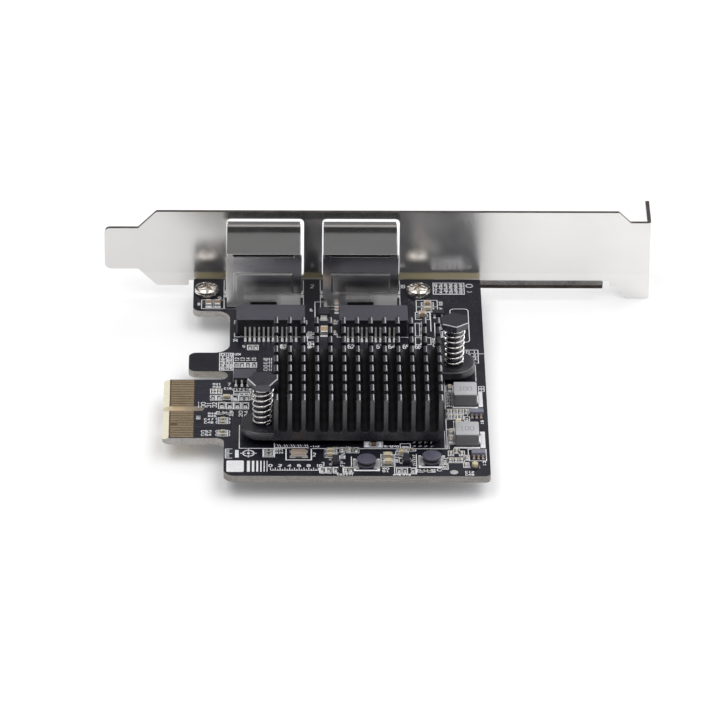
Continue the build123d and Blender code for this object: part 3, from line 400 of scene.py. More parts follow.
M["screw"] = finish("screw_nickel", (0.70, 0.66, 0.615, 1), 0.13, metal=1.0, vary=0.10, vary_scale=900, grain=0.03,
                    rough_vary=0.05, bump=0.12, bump_mm=0.01, wave=0.5, wave_mm=0.09, wave_scale=700)
M["port_plastic"] = finish("port_plastic", srgb(26, 26, 28), 0.42, vary=0.12, bump=0.25, bump_mm=0.01)
M["port_gold"] = finish("spring_gold", srgb(222, 184, 110), 0.22, metal=1.0, vary=0.08, bump=0.1)
M["light_pipe"] = finish("light_pipe", srgb(205, 208, 205), 0.24, vary=0.05, bump=0.1, transmission=0.35, ior=1.58)
M["heatsink"] = finish("anodised_matt", srgb(24, 23, 27), 0.58, ior=1.45, vary=0.10, vary_scale=420, grain=0.03,
                       rough_vary=0.04, bump=0.18, bump_mm=0.006, bump_scale=6000)
M["sink_cut"] = finish("anodised_cut", srgb(34, 33, 39), 0.30, ior=1.75, vary=0.08, vary_scale=420, grain=0.03,
                       rough_vary=0.04, bump=0.14, bump_mm=0.005, bump_scale=5000, wave=0.3, wave_mm=0.02, wave_scale=260)
# painted highlight: pale metallic finish for the right half of each peg's rounded top
M["sink_rub"] = finish("anodised_painted_highlight", srgb(118, 117, 122), 0.26, metal=0.75, vary=0.20, vary_scale=900, grain=0.10,
                       rough_vary=0.05, bump=0.22, bump_mm=0.010, bump_scale=5000)
M["chip"] = finish("moulded_black", srgb(42, 41, 48), 0.48, vary=0.10, vary_scale=700, grain=0.22, grain_scale=9000,
                   bump=0.5, bump_mm=0.014, bump_scale=9000)
# painted shade: the sides take a darker colour than the top
M["memory"] = finish("moulded_black_matt", srgb(72, 71, 80), 0.46, vary=0.10, vary_scale=700, grain=0.20, grain_scale=9000,
                     bump=0.5, bump_mm=0.014, bump_scale=9000, painted_side_colour=srgb(34, 34, 40))
# painted shade: the sides take a darker colour than the top, whose lighter tone stands for sheen
M["trafo"] = finish("transformer_black", srgb(70, 69, 78), 0.42, painted_side_colour=srgb(30, 30, 36), vary=0.07, vary_scale=300, grain=0.16, grain_scale=8000,
                    bump=0.4, bump_mm=0.012, bump_scale=8000)
M["dimple"] = finish("moulded_dimple", srgb(58, 57, 64), 0.34, vary=0.08, bump=0.2)
M["conv"] = finish("converter_black", srgb(116, 116, 131), 0.42, painted_side_colour=srgb(116, 116, 132), vary=0.08, vary_scale=700, grain=0.16, grain_scale=9000, bump=0.4, bump_mm=0.012)
M["thermal"] = finish("thermal_pad", srgb(132, 142, 152), 0.7, vary=0.08, bump=0.5, bump_mm=0.02)
# painted light: lighter sides, and a painted highlight along the heads' forward edges
M["nylon"] = finish("nylon_black", srgb(38, 38, 46), 0.30, painted_side_colour=srgb(58, 58, 68), head_edge_highlight=(srgb(226, 226, 232), ((-0.02511, -0.03139, (210, 330)), (0.01579, -0.00639, (247, 307))), 0.00277, 0.01902), ior=1.62, vary=0.10, vary_scale=600, grain=0.12, bump=0.3, bump_mm=0.01, bump_scale=5000)
M["spring"] = finish("spring_steel", (0.80, 0.78, 0.755, 1), 0.16, metal=1.0, vary=0.06, vary_scale=2000, bump=0.15, bump_mm=0.006)
M["inductor_top"] = finish("inductor_lid", srgb(184, 184, 187), 0.50, vary=0.05, vary_scale=500, grain=0.30, grain_scale=7000,
                           bump=0.55, bump_mm=0.016, bump_scale=7000)
M["inductor_side"] = finish("inductor_side", srgb(114, 113, 115), 0.36, vary=0.10, vary_scale=600, grain=0.30, grain_scale=7000,
                            bump=0.5, bump_mm=0.016, bump_scale=6000)
M["marking"] = finish("grey_marking", srgb(148, 148, 152), 0.6, vary=0.1, bump=0.2)
M["ferrite"] = finish("ferrite", srgb(78, 77, 91), 0.36, vary=0.12, vary_scale=900, grain=0.25, grain_scale=8000,
                      bump=0.4, bump_mm=0.014, bump_scale=8000)
M["enamel"] = finish("enamel_copper", srgb(72, 50, 42), 0.28, metal=0.8, vary=0.15, vary_scale=1200, coat=0.6, coat_rough=0.15, bump=0.1)
M["crystal"] = finish("crystal_lid", srgb(214, 192, 176), 0.30, metal=0.6, vary=0.05, bump=0.15)
M["crystal_base"] = finish("crystal_base", srgb(190, 184, 178), 0.6, vary=0.1, bump=0.3)
M["cap_tan"] = finish("ceramic_tan", srgb(176, 148, 118), 0.44, vary=0.10, vary_scale=1100, grain=0.2, bump=0.3, bump_mm=0.01)
M["cap_brown"] = finish("ceramic_brown", srgb(150, 122, 100), 0.44, vary=0.12, vary_scale=1100, grain=0.2, bump=0.3, bump_mm=0.01)
M["cap_pale"] = finish("ceramic_pale", srgb(206, 192, 160), 0.44, vary=0.08, vary_scale=1100, grain=0.2, bump=0.3, bump_mm=0.01)
M["res_black"] = finish("resistor_glaze", srgb(28, 28, 30), 0.26, vary=0.12, vary_scale=1500, bump=0.15)
M["res_base"] = finish("alumina", srgb(214, 212, 204), 0.5, vary=0.06, vary_scale=1500, bump=0.2)
M["lead_copper"] = finish("coppery_lead", srgb(212, 192, 176), 0.28, metal=0.6, vary=0.12, vary_scale=1500, bump=0.15)


# ------------------------------------------------------------------ mesh code
class Shape:
    """Collects closed solids, given in card millimetres, into one mesh."""

    def __init__(self):
        self.v, self.f, self.m = [], [], []

    def add(self, verts, faces, mat=0):
        n = len(self.v)
        self.v.extend(verts)
        self.f.extend([tuple(i + n for i in f) for f in faces])
        self.m.extend([mat] * len(faces))

    def loft(self, rings, mat=0, caps=(True, True), mats=None):
        """Rings of equal length, counter-clockwise seen from above, from the lowest up."""
        n = len(rings[0])
        verts = [p for ring in rings for p in ring]
        faces = []
        if caps[0]:
            faces.append(tuple(reversed(range(n))))
        for i in range(len(rings) - 1):
            for j in range(n):
                a, b = i * n + j, i * n + (j + 1) % n
                faces.append((a, b, b + n, a + n))
        if caps[1]:
            faces.append(tuple(range((len(rings) - 1) * n, len(rings) * n)))
        self.add(verts, faces, mat)
        if mats:
            base = len(self.m) - len(faces) + (1 if caps[0] else 0)
            for i, mt in enumerate(mats):
                for j in range(n):
                    self.m[base + i * n + j] = mt
            if caps[1]:
                self.m[-1] = mats[-1]

    def prism(self, poly, z0, z1, mat=0):
        self.loft([[(x, y, z0) for x, y in poly], [(x, y, z1) for x, y in poly]], mat)

    def box(self, x0, x1, y0, y1, z0, z1, mat=0):
        self.prism([(x0, y0), (x1, y0), (x1, y1), (x0, y1)], z0, z1, mat)

    def chamfered(self, x0, x1, y0, y1, z0, z1, c, mat=0):
        """Box with every edge chamfered by c."""
        def ring(inset, z):
            a, b, d, e = x0 + inset, x1 - inset, y0 + inset, y1 - inset
            return [(a + c, d, z), (b - c, d, z), (b, d + c, z), (b, e - c, z), (b - c, e, z), (a + c, e, z), (a, e - c, z), (a, d + c, z)]
        self.loft([ring(c * 0.9, z0), ring(0, z0 + c), ring(0, z1 - c), ring(c * 0.9, z1)], mat)

    def band(self, pts, w, z0, z1, mat=0):
        """Flat line of width w along pts; closed if the last point is the first."""
        closed = len(pts) > 2 and pts[0] == pts[-1]
        if closed:
            pts = pts[:-1]
        n = len(pts)
        left, rightside = [], []
        for i, p in enumerate(pts):
            a = pts[i - 1] if (closed or i > 0) else None
            b = pts[(i + 1) % n] if (closed or i < n - 1) else None

            def unit(u, v):
                dx, dy = v[0] - u[0], v[1] - u[1]
                d = math.hypot(dx, dy) or 1.0
                return dx / d, dy / d
            d1 = unit(a, p) if a else unit(p, b)
            d2 = unit(p, b) if b else d1
            nx, ny = -(d1[1] + d2[1]), d1[0] + d2[0]
            length = math.hypot(nx, ny)
            if length < 1e-6:
                nx, ny, k = -d1[1], d1[0], 1.0
            else:
                nx, ny = nx / length, ny / length
                k = 1.0 / max(0.4, nx * -d1[1] + ny * d1[0])
            left.append((p[0] + nx * k * w / 2, p[1] + ny * k * w / 2))
            rightside.append((p[0] - nx * k * w / 2, p[1] - ny * k * w / 2))
        verts, faces = [], []
        for (lx, ly), (rx, ry) in zip(left, rightside):
            verts += [(lx, ly, z0), (rx, ry, z0), (rx, ry, z1), (lx, ly, z1)]
        for i in range(n if closed else n - 1):
            a, b = 4 * i, 4 * ((i + 1) % n)
            for j in range(4):
                faces.append((a + j, b + j, b + (j + 1) % 4, a + (j + 1) % 4))
        if not closed:
            faces.append((0, 1, 2, 3))
            e = 4 * (n - 1)
            faces.append((e + 3, e + 2, e + 1, e))
        self.add(verts, faces, mat)

    def lathe(self, profile, cx, cy_, n=32, mat=0, mats=None):
        """profile: (r, z) from the axis at the bottom, outwards and up, back to the axis."""
        verts, rows = [], []
        for r, z in profile:
            if r < 1e-6:
                rows.append([len(verts)])
                verts.append((cx, cy_, z))
            else:
                rows.append(list(range(len(verts), len(verts) + n)))
                for i in range(n):
                    a = 2 * math.pi * i / n
                    verts.append((cx + r * math.cos(a), cy_ + r * math.sin(a), z))
        for i in range(len(rows) - 1):
            a, b = rows[i], rows[i + 1]
            faces = []
            for j in range(n):
                j2 = (j + 1) % n
                if len(a) == 1 and len(b) == 1:
                    continue
                if len(a) == 1:
                    faces.append((a[0], b[j2], b[j]))
                elif len(b) == 1:
                    faces.append((a[j], a[j2], b[0]))
                else:
                    faces.append((a[j], a[j2], b[j2], b[j]))
            self.f.extend([tuple(q + len(self.v) for q in f) for f in faces])
            self.m.extend([mats[i] if mats else mat] * len(faces))
        self.v.extend(verts)

    def disc(self, cx, cy_, r, z0, z1, n=16, mat=0):
        self.prism([(cx + r * math.cos(2 * math.pi * i / n), cy_ + r * math.sin(2 * math.pi * i / n)) for i in range(n)], z0, z1, mat)

    def ring(self, cx, cy_, r0, r1, z0, z1, n=16, mat=0):
        verts = []
        for i in range(n):
            a = 2 * math.pi * i / n
            c, s = math.cos(a), math.sin(a)
            verts += [(cx + r0 * c, cy_ + r0 * s, z0), (cx + r1 * c, cy_ + r1 * s, z0), (cx + r1 * c, cy_ + r1 * s, z1), (cx + r0 * c, cy_ + r0 * s, z1)]
        faces = []
        for i in range(n):
            a, b = 4 * i, 4 * ((i + 1) % n)
            for j in range(4):
                faces.append((a + j, a + (j + 1) % 4, b + (j + 1) % 4, b + j))
        self.add(verts, faces, mat)

    def tube(self, path, r, n=10, mat=0):
        """Round wire along a list of points, closed at both ends. Frames are carried along without twist."""
        pts = [Vector(p) for p in path]
        tangents = []
        for i in range(len(pts)):
            a, b = pts[max(i - 1, 0)], pts[min(i + 1, len(pts) - 1)]
            tangents.append((b - a).normalized())
        normal = tangents[0].orthogonal().normalized()
        verts, faces = [], []
        for i, (p, t) in enumerate(zip(pts, tangents)):
            normal = (normal - t * normal.dot(t)).normalized()
            binormal = t.cross(normal)
            for j in range(n):
                a = 2 * math.pi * j / n
                q = p + (normal * math.cos(a) + binormal * math.sin(a)) * r
                verts.append((q.x, q.y, q.z))
        for i in range(len(pts) - 1):
            for j in range(n):
                a, b = i * n + j, i * n + (j + 1) % n
                faces.append((a, b, b + n, a + n))
        faces.append(tuple(reversed(range(n))))
        faces.append(tuple(range((len(pts) - 1) * n, len(pts) * n)))
        self.add(verts, faces, mat)

    def strip(self, profile, axis, lo, hi, mat=0):
        """Closed section swept straight. profile: (u, z) points; axis 'x' sweeps along x with u on y, 'y' along y with u on x."""
        if axis == "x":
            a = [(lo, u, z) for u, z in profile]
            b = [(hi, u, z) for u, z in profile]
        else:
            a = [(u, lo, z) for u, z in profile]
            b = [(u, hi, z) for u, z in profile]
        n = len(profile)
        faces = [tuple(range(n)), tuple(reversed(range(n, 2 * n)))]
        faces += [(i + n, (i + 1) % n + n, (i + 1) % n, i) for i in range(n)]
        self.add(a + b, faces, mat)

    def mesh(self, name, mats, body=CARD, slot=None, replaces=(), smooth=None):
        me = bpy.data.meshes.new(name)
        me.from_pydata([P(*p) for p in self.v], [], self.f)
        for m in mats:
            me.materials.append(m)
        me.polygons.foreach_set("material_index", self.m)
        ob = bpy.data.objects.new(name, me)
        bpy.context.scene.collection.objects.link(ob)
        # every solid is closed, so its faces can all be turned outwards
        import bmesh
        bm = bmesh.new()
        bm.from_mesh(me)
        bmesh.ops.recalc_face_normals(bm, faces=bm.faces)
        bm.to_mesh(me)
        bm.free()
        if smooth is not None:
            me.polygons.foreach_set("use_smooth", [True] * len(me.polygons))
            me.set_sharp_from_angle(angle=math.radians(smooth))
        me.update()
        if replaces:
            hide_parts(*replaces)
        if body:
            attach(ob, body)
        return ob


def arc(cx, cy_, r, a0, a1, n):
    return [(cx + r * math.cos(math.radians(a0 + (a1 - a0) * i / n)), cy_ + r * math.sin(math.radians(a0 + (a1 - a0) * i / n))) for i in range(n + 1)]


def rounded(x0, x1, y0, y1, r, n=4):
    return (arc(x0 + r, y0 + r, r, 180, 270, n) + arc(x1 - r, y0 + r, r, 270, 360, n) +
            arc(x1 - r, y1 - r, r, 0, 90, n) + arc(x0 + r, y1 - r, r, 90, 180, n))


# ------------------------------------------------------------------ plain stroke characters
STROKES = {
    "0": [[(0, 1), (0, 5), (1, 6), (3, 6), (4, 5), (4, 1), (3, 0), (1, 0), (0, 1)]],
    "1": [[(1, 5), (2, 6), (2, 0)], [(0.8, 0), (3.2, 0)]],
    "2": [[(0, 5), (1, 6), (3, 6), (4, 5), (4, 3.8), (0, 0), (4, 0)]],
    "3": [[(0, 5.4), (1, 6), (3, 6), (4, 5), (4, 4), (3, 3.1), (4, 2), (4, 1), (3, 0), (1, 0), (0, 0.8)]],
    "4": [[(3, 0), (3, 6), (0, 2), (4.2, 2)]],
    "5": [[(4, 6), (0, 6), (0, 3.5), (3, 3.5), (4, 2.5), (4, 1), (3, 0), (0, 0)]],
    "6": [[(3.6, 6), (1, 6), (0, 5), (0, 1), (1, 0), (3, 0), (4, 1), (4, 2.5), (3, 3.5), (0.2, 3.5)]],
    "7": [[(0, 6), (4, 6), (1.5, 0)]],
    "8": [[(1, 3.1), (0, 4), (0, 5), (1, 6), (3, 6), (4, 5), (4, 4), (3, 3.1), (1, 3.1), (0, 2), (0, 1), (1, 0), (3, 0), (4, 1), (4, 2), (3, 3.1)]],
    "9": [[(0.4, 0), (3, 0), (4, 1), (4, 5), (3, 6), (1, 6), (0, 5), (0, 3.5), (1, 2.5), (3.8, 2.5)]],
    "R": [[(0, 0), (0, 6), (3, 6), (4, 5), (4, 4), (3, 3), (0.2, 3)], [(2, 3), (4, 0)]],
    "C": [[(4, 5), (3, 6), (1, 6), (0, 5), (0, 1), (1, 0), (3, 0), (4, 1)]],
    "L": [[(0, 6), (0, 0), (4, 0)]],
    "U": [[(0, 6), (0, 1), (1, 0), (3, 0), (4, 1), (4, 6)]],
    "D": [[(0, 0), (0, 6), (2.5, 6), (4, 4.5), (4, 1.5), (2.5, 0), (0, 0)]],
    "Q": [[(1, 0), (0, 1), (0, 5), (1, 6), (3, 6), (4, 5), (4, 1), (3, 0), (1, 0)], [(2.4, 1.6), (4.2, -0.4)]],
    "T": [[(0, 6), (4, 6)], [(2, 6), (2, 0)]],
    "Y": [[(0, 6), (2, 3), (4, 6)], [(2, 3), (2, 0)]],
    "F": [[(4, 6), (0, 6), (0, 0)], [(0.2, 3.2), (3, 3.2)]],
    "J": [[(4, 6), (4, 1), (3, 0), (1, 0), (0, 1)]],
    "+": [[(0, 3), (4, 3)], [(2, 1), (2, 5)]],
    "-": [[(0, 3), (4, 3)]],
}


def write(shape, text, x0, y0, x1, y1, z, w=0.13, turn=0, mat=0, t=0.02):
    """Fits text in the box, upright towards +y, or turned by 90 or -90 degrees."""
    if y0 > y1:
        y0, y1 = y1, y0
    n = len(text)
    if turn == 0:
        run, rise = x1 - x0, y1 - y0
    else:
        run, rise = y1 - y0, x1 - x0
    cell = run / n
    cw = cell * 0.70
    for i, ch in enumerate(text):
        for stroke in STROKES.get(ch, []):
            pts = []
            for a, b in stroke:
                u = i * cell + cell * 0.12 + a / 4.0 * cw
                v = w / 2 + b / 6.0 * (rise - w)
                if turn == 0:
                    pts.append((x0 + u, y0 + v))
                elif turn == 90:
                    pts.append((x1 - v, y0 + u))
                else:
                    pts.append((x0 + v, y1 - u))
            if stroke[0] == stroke[-1]:
                pts[-1] = pts[0]
            shape.band(pts, w, z, z + t, mat)


# ------------------------------------------------------------------ carried-over CAD nodes
def dress(name, mat):
    ob = nodes[name]
    if not ob.material_slots:
        ob.data.materials.append(mat)
    for s in ob.material_slots:
        s.material = mat
    return ob


def soften(name, width_mm, segments=2, angle=35.0):
    """Rounds a CAD node's sharp edges with modifiers; its mesh stays as packed."""
    ob = nodes[name]
    weld = ob.modifiers.new("weld", "WELD")
    weld.merge_threshold = 0.000002
    bev = ob.modifiers.new("bevel", "BEVEL")
    bev.width = width_mm / 1000.0
    bev.segments = segments
    bev.limit_method = "ANGLE"
    bev.angle_limit = math.radians(angle)
    bev.use_clamp_overlap = True
    bev.miter_outer = "MITER_ARC"
    bev.harden_normals = False
    return ob


for name, width, segments, angle in (
        ("push_pin_left", 0.17, 3, 35), ("push_pin_right", 0.17, 3, 35),
        ("port_shield_left", 0.22, 3, 30), ("port_shield_right", 0.22, 3, 30),
        ("port_housing_left", 0.12, 1, 40), ("port_housing_right", 0.12, 1, 40),
        ("bracket", 0.10, 2, 40), ("memory_chip", 0.05, 1, 30), ("converter_chips", 0.06, 2, 40),
        ("transistors", 0.08, 2, 40), ("surge_diode", 0.10, 2, 40), ("network_chips", 0.06, 1, 40),
        ("bridge_chip", 0.06, 1, 40), ("port_light_pipes", 0.1, 2, 40)):
    if name in nodes:
        soften(name, width, segments, angle)

dress("circuit_board", M["board"])
dress("edge_contacts_top", M["gold"])
dress("edge_contacts_bottom", M["gold"])
dress("bracket", M["bracket"])
for s in ("left", "right"):
    dress(f"port_shield_{s}", M["shield"])
    dress(f"port_housing_{s}", M["port_plastic"])
    dress(f"port_contacts_{s}", M["port_gold"])
    dress(f"push_pin_{s}", M["nylon"])
    dress(f"push_pin_spring_{s}", M["spring"])
    dress(f"transformer_body_{s}", M["trafo"])
    dress(f"transformer_leads_{s}", M["tin"])
dress("port_light_pipes", M["light_pipe"])
dress("heatsink", M["heatsink"])
dress("network_chips", M["chip"])
dress("bridge_chip", M["chip"])
dress("thermal_pads", M["thermal"])
dress("memory_chip", M["memory"])
dress("memory_chip_leads", M["tin"])
dress("converter_chips", M["conv"])
dress("converter_chip_leads", M["lead_copper"])
dress("transistors", M["chip"])
dress("transistor_leads", M["tin"])
dress("surge_diode", M["chip"])
dress("surge_diode_tabs", M["tin"])
dress("power_inductors", M["inductor_side"])
dress("crystal_can", M["crystal"])
dress("bracket_screws", M["screw"])
dress("drum_inductor_cores", M["ferrite"])
dress("drum_inductor_windings", M["enamel"])
dress("ceramic_capacitors_small", M["cap_tan"])
dress("ceramic_capacitors_large", M["cap_brown"])
dress("chip_resistors", M["res_black"])


def put(shape, n0, x, y, turn=0.0, z=0.0):
    """Turns and moves everything added to the shape since vertex n0."""
    c, s = math.cos(math.radians(turn)), math.sin(math.radians(turn))
    for i in range(n0, len(shape.v)):
        a, b, d = shape.v[i]
        shape.v[i] = (x + a * c - b * s, y + a * s + b * c, z + d)


silk, dim, glow_ink, metal, joints = Shape(), Shape(), Shape(), Shape(), Shape()
SILK_T = 0.018


def line(pts, w=0.14, on=None):
    (on or silk).band(pts, w * 1.18 if w < 0.3 else w, 0.0, SILK_T)


def frame_box(x0, x1, y0, y1, w=0.14, on=None):
    if y0 > y1:
        y0, y1 = y1, y0
    line([(x0, y0), (x1, y0), (x1, y1), (x0, y1), (x0, y0)], w, on)


def block(x0, x1, y0, y1, on=None):
    if y0 > y1:
        y0, y1 = y1, y0
    (on or silk).box(x0, x1, y0, y1, 0.0, SILK_T)


def tag(text, x0, x1, y0, y1, turn=0, w=0.13, on=None):
    write(on or silk, text, x0, y0, x1, y1, 0.0, w * 1.18, turn, 0, SILK_T)


# ------------------------------------------------------------------ chip capacitors and resistors
CASE = {"0402": (1.0, 0.5, 0.45, 0.25), "0603": (1.6, 0.8, 0.75, 0.36), "0805": (2.0, 1.25, 1.05, 0.42)}
SMALL_CAPACITORS = [
    (27.2, -52.9, "h", "0603"), (26.5, -61.7, "h", "0402"), (26.5, -63.1, "h", "0402"),
    (26.5, -66.9, "h", "0402"), (26.5, -68.2, "h", "0402"), (24.3, -50.2, "v", "0402"),
    (25.6, -50.2, "v", "0402"), (32.7, -52.7, "v", "0402"), (49.2, -74.9, "h", "0603"),
    (49.2, -76.7, "h", "0603"), (64.2, -75.6, "h", "0603"), (64.2, -74.2, "h", "0402"),
    (66.1, -74.2, "h", "0402"), (74.8, -48.9, "v", "0603"), (74.3, -58.4, "v", "0402"),
    (75.6, -58.4, "v", "0402"), (76.9, -58.4, "v", "0402"), (74.3, -60.6, "v", "0402"),
    (75.6, -60.6, "v", "0402"), (76.9, -60.6, "v", "0402"), (78.15, -58.4, "v", "0402"),
    (74.5, -75.6, "v", "0402"), (75.7, -74.6, "v", "0402"), (76.8, -75.6, "v", "0402"),
    (74.3, -78.4, "v", "0402"), (75.5, -78.4, "v", "0402"), (76.7, -78.4, "v", "0402"),
    (77.8, -77.4, "v", "0402"), (77.6, -80.3, "v", "0402"), (74.7, -67.3, "v", "0603"),
    (74.6, -70.2, "v", "0603"), (70.8, -12.5, "h", "0603"), (70.8, -14.8, "h", "0603"),
    (69.6, -22.2, "v", "0603"), (69.6, -24.9, "v", "0603"), (50.9, -15.6, "v", "0603"),
    (50.5, -20.6, "v", "0402"), (50.5, -25.2, "v", "0402"), (51.6, -74.4, "v", "0402"),
    (53.2, -74.4, "v", "0402"), (52.3, -82.5, "v", "0402"), (58.3, -72.1, "h", "0603"),
]
LARGE_CAPACITORS = [
    (61.2, -77.2, 2.0, 1.25, 1.05), (61.2, -79.7, 2.0, 1.25, 1.05), (76.3, -63.9, 1.25, 2.0, 1.05),
    (69.6, -28.6, 1.25, 2.0, 1.05), (23.0, -12.9, 1.3, 2.0, 0.85), (24.9, -12.9, 1.3, 2.0, 0.85),
    (48.35, -25.1, 2.0, 2.6, 1.15), (69.6, -17.6, 1.7, 1.25, 1.05),
]
RESISTORS = [
    (24.3, -52.9, "v", "0402"), (25.6, -52.9, "v", "0402"), (29.0, -52.9, "v", "0603"),
    (30.4, -52.9, "v", "0402"), (31.5, -52.9, "v", "0402"), (26.2, -56.1, "v", "0603"),
    (27.9, -56.2, "v", "0603"), (29.5, -56.2, "v", "0603"), (31.2, -56.2, "v", "0603"),
    (26.1, -59.2, "h", "0402"), (27.6, -59.2, "h", "0402"), (29.2, -39.0, "v", "0402"),
    (30.4, -39.0, "v", "0402"), (31.7, -39.0, "v", "0402"), (33.0, -39.0, "v", "0402"),
    (36.2, -75.0, "h", "0402"), (36.2, -76.2, "h", "0402"), (47.4, -82.6, "v", "0402"),
    (48.7, -82.6, "v", "0402"), (50.2, -82.5, "v", "0402"), (54.6, -74.4, "v", "0402"),
    (53.4, -82.5, "v", "0402"), (63.5, -82.7, "v", "0402"), (64.7, -82.7, "v", "0402"),
    (66.4, -82.7, "v", "0402"), (68.3, -82.7, "h", "0402"), (69.8, -82.7, "h", "0402"),
    (63.0, -78.2, "v", "0402"), (32.1, -31.5, "v", "0402"), (33.3, -31.5, "v", "0402"),
    (39.5, -31.5, "v", "0402"), (40.6, -31.5, "v", "0402"), (45.7, -25.3, "h", "0402"),
    (45.7, -26.9, "h", "0402"), (73.3, -22.4, "v", "0402"), (73.3, -25.5, "v", "0402"),
    (78.2, -61.4, "v", "0402"), (73.2, -78.7, "v", "0402"), (73.2, -81.1, "v", "0402"),
]
rng = random.Random(11)


def joint_pair(x, y, turn, length, width, height, pad=0.30):
    """Two pads with their concave solder fillets, at the ends of a part lying along its own u."""
    n0 = len(joints.v)
    for k in (-1, 1):
        run = pad * 0.92
        rise = height * 0.62
        prof = [(k * (length / 2 - 0.04), 0.0), (k * (length / 2 + run), 0.0), (k * (length / 2 + run), 0.03),
                (k * (length / 2 + run * 0.55), rise * 0.18), (k * (length / 2 + run * 0.25), rise * 0.45),
                (k * (length / 2 + 0.01), rise), (k * (length / 2 - 0.04), rise)]
        joints.strip(prof, "y", -width / 2 - 0.01, width / 2 + 0.01)
    put(joints, n0, x, y, turn)
    n0 = len(metal.v)
    for k in (-1, 1):
        a, b = sorted((k * (length / 2 - 0.30), k * (length / 2 + pad)))
        metal.box(a, b, -width / 2 - 0.09, width / 2 + 0.09, 0.0, 0.03)
    put(metal, n0, x, y, turn)


def capacitor(s, x, y, turn, length, width, height, end, body):
    n0 = len(s.v)
    s.chamfered(-length / 2 + end - 0.05, length / 2 - end + 0.05, -width / 2 + 0.02, width / 2 - 0.02, 0.03, height - 0.02, 0.05, body)
    for k in (-1, 1):
        a, b = sorted((k * length / 2, k * (length / 2 - end)))
        s.chamfered(a, b, -width / 2, width / 2, 0.01, height, 0.07 if width < 1 else 0.11, 3)
    put(s, n0, x, y, turn)
    joint_pair(x, y, turn, length, width, height, 0.30 if width < 1 else 0.42)


def resistor(s, x, y, turn, length, width, height, end):
    n0 = len(s.v)
    s.box(-length / 2 + end - 0.02, length / 2 - end + 0.02, -width / 2 + 0.01, width / 2 - 0.01, 0.03, height - 0.05, 1)
    s.chamfered(-length / 2 + end - 0.02, length / 2 - end + 0.02, -width / 2 + 0.03, width / 2 - 0.03, height - 0.06, height - 0.01, 0.015, 0)
    for k in (-1, 1):
        a, b = sorted((k * length / 2, k * (length / 2 - end)))
        s.chamfered(a, b, -width / 2, width / 2, 0.01, height, 0.05, 2)
    put(s, n0, x, y, turn)
    joint_pair(x, y, turn, length, width, height, 0.30)


def outline(x, y, lie, length, width, gap=0.22, pad=0.30):
    a, b = length / 2 + pad + gap, width / 2 + 0.09 + gap
    if lie == "v":
        a, b = b, a
    frame_box(x - a, x + a, y - b, y + b, 0.13)


small, large, resist = Shape(), Shape(), Shape()
for x, y, lie, size in SMALL_CAPACITORS:
    L, W, H, E = CASE[size]
    body = rng.choice((0, 0, 1, 2, 2))
    capacitor(small, x, y, 0 if lie == "h" else 90, L, W, H, E, body if x < 72 else 2)
    if not (y > -27 and y < -15 and x > 50 and x < 52):
        outline(x, y, lie, L, W)
for x, y, lie, size in RESISTORS:
    L, W, H, E = CASE[size]
    resistor(resist, x, y, 0 if lie == "h" else 90, L, W, 0.36, E)
    outline(x, y, lie, L, W)
for x, y, w, d, h in LARGE_CAPACITORS:
    along_x = w > d
    body = 1 if abs(y + 12.9) < 0.1 else (0 if x in (48.35, 69.6) else 2)
    capacitor(large, x, y, 0 if along_x else 90, max(w, d), min(w, d), h, 0.45, body)
# small round capacitor by the lower converter: a tan can on a dark foot
n0 = len(large.v)
large.chamfered(-0.95, 0.95, -0.7, 0.7, 0.0, 0.22, 0.1, 4)
large.lathe([(0, 0.2), (0.62, 0.2), (0.66, 0.28), (0.66, 1.0), (0.60, 1.12), (0.50, 1.16), (0.46, 1.13), (0, 1.13)], 0, 0, 28, 2)
put(large, n0, 79.4, -81.2)
joint_pair(79.4, -81.2, 0, 1.7, 0.9, 0.25, 0.2)
small.mesh("chip_capacitors_small", [M["cap_tan"], M["cap_brown"], M["cap_pale"], M["tin"]], slot="capacitor_tan",
           replaces=("ceramic_capacitors_small",))
large.mesh("chip_capacitors_large", [M["cap_tan"], M["cap_brown"], M["cap_pale"], M["tin"], M["chip"]], slot="capacitor_tan",
           replaces=("ceramic_capacitors_large",), smooth=30)
resist.mesh("film_resistors", [M["res_black"], M["res_base"], M["tin"]], slot="resistor_black", replaces=("chip_resistors",))

# ------------------------------------------------------------------ heatsink: base with round-bottomed channels, ears, rounded pegs
sink = Shape()
SX0, SX1, SY0, SY1 = 37.23, 72.85, -73.1, -38.1
FINS, ROWS, FIN_T, ROW_D = 13, 9, 1.0, 2.6
PITCH_X = (SX1 - SX0 - FIN_T) / (FINS - 1)
PITCH_Y = (SY1 - SY0 - ROW_D) / (ROWS - 1)
CH = (PITCH_X - FIN_T) / 2
profile = [(SX0 + 0.15, 1.5), (SX1 - 0.15, 1.5), (SX1, 1.65), (SX1, 4.1)]
kinds = [0, 0, 0]
for i in range(FINS - 2, -1, -1):
    mid = SX0 + FIN_T / 2 + PITCH_X * (i + 0.5)
    a0 = math.degrees(math.asin((4.1 - (3.5 + CH)) / CH))
    pts = [(mid + CH * math.cos(math.radians(a0 - (180 + 2 * a0) * k / 10)),
            3.5 + CH + CH * math.sin(math.radians(a0 - (180 + 2 * a0) * k / 10))) for k in range(11)]
    profile += pts
profile += [(SX0, 4.1), (SX0, 1.65)]
n_p = len(profile)
front = [(x, SY0, z) for x, z in profile]
front_in = [(x, SY0 + 0.12, z) for x, z in profile]


def shrink(z):
    return z - 0.10 if z > 3.0 else z + 0.08


rings = [[(x, SY0, shrink(z)) for x, z in profile], [(x, SY0 + 0.12, z) for x, z in profile],
         [(x, SY1 - 0.12, z) for x, z in profile], [(x, SY1, shrink(z)) for x, z in profile]]
first = len(sink.m)
sink.loft(rings, 0)
sink.m[first] = 1
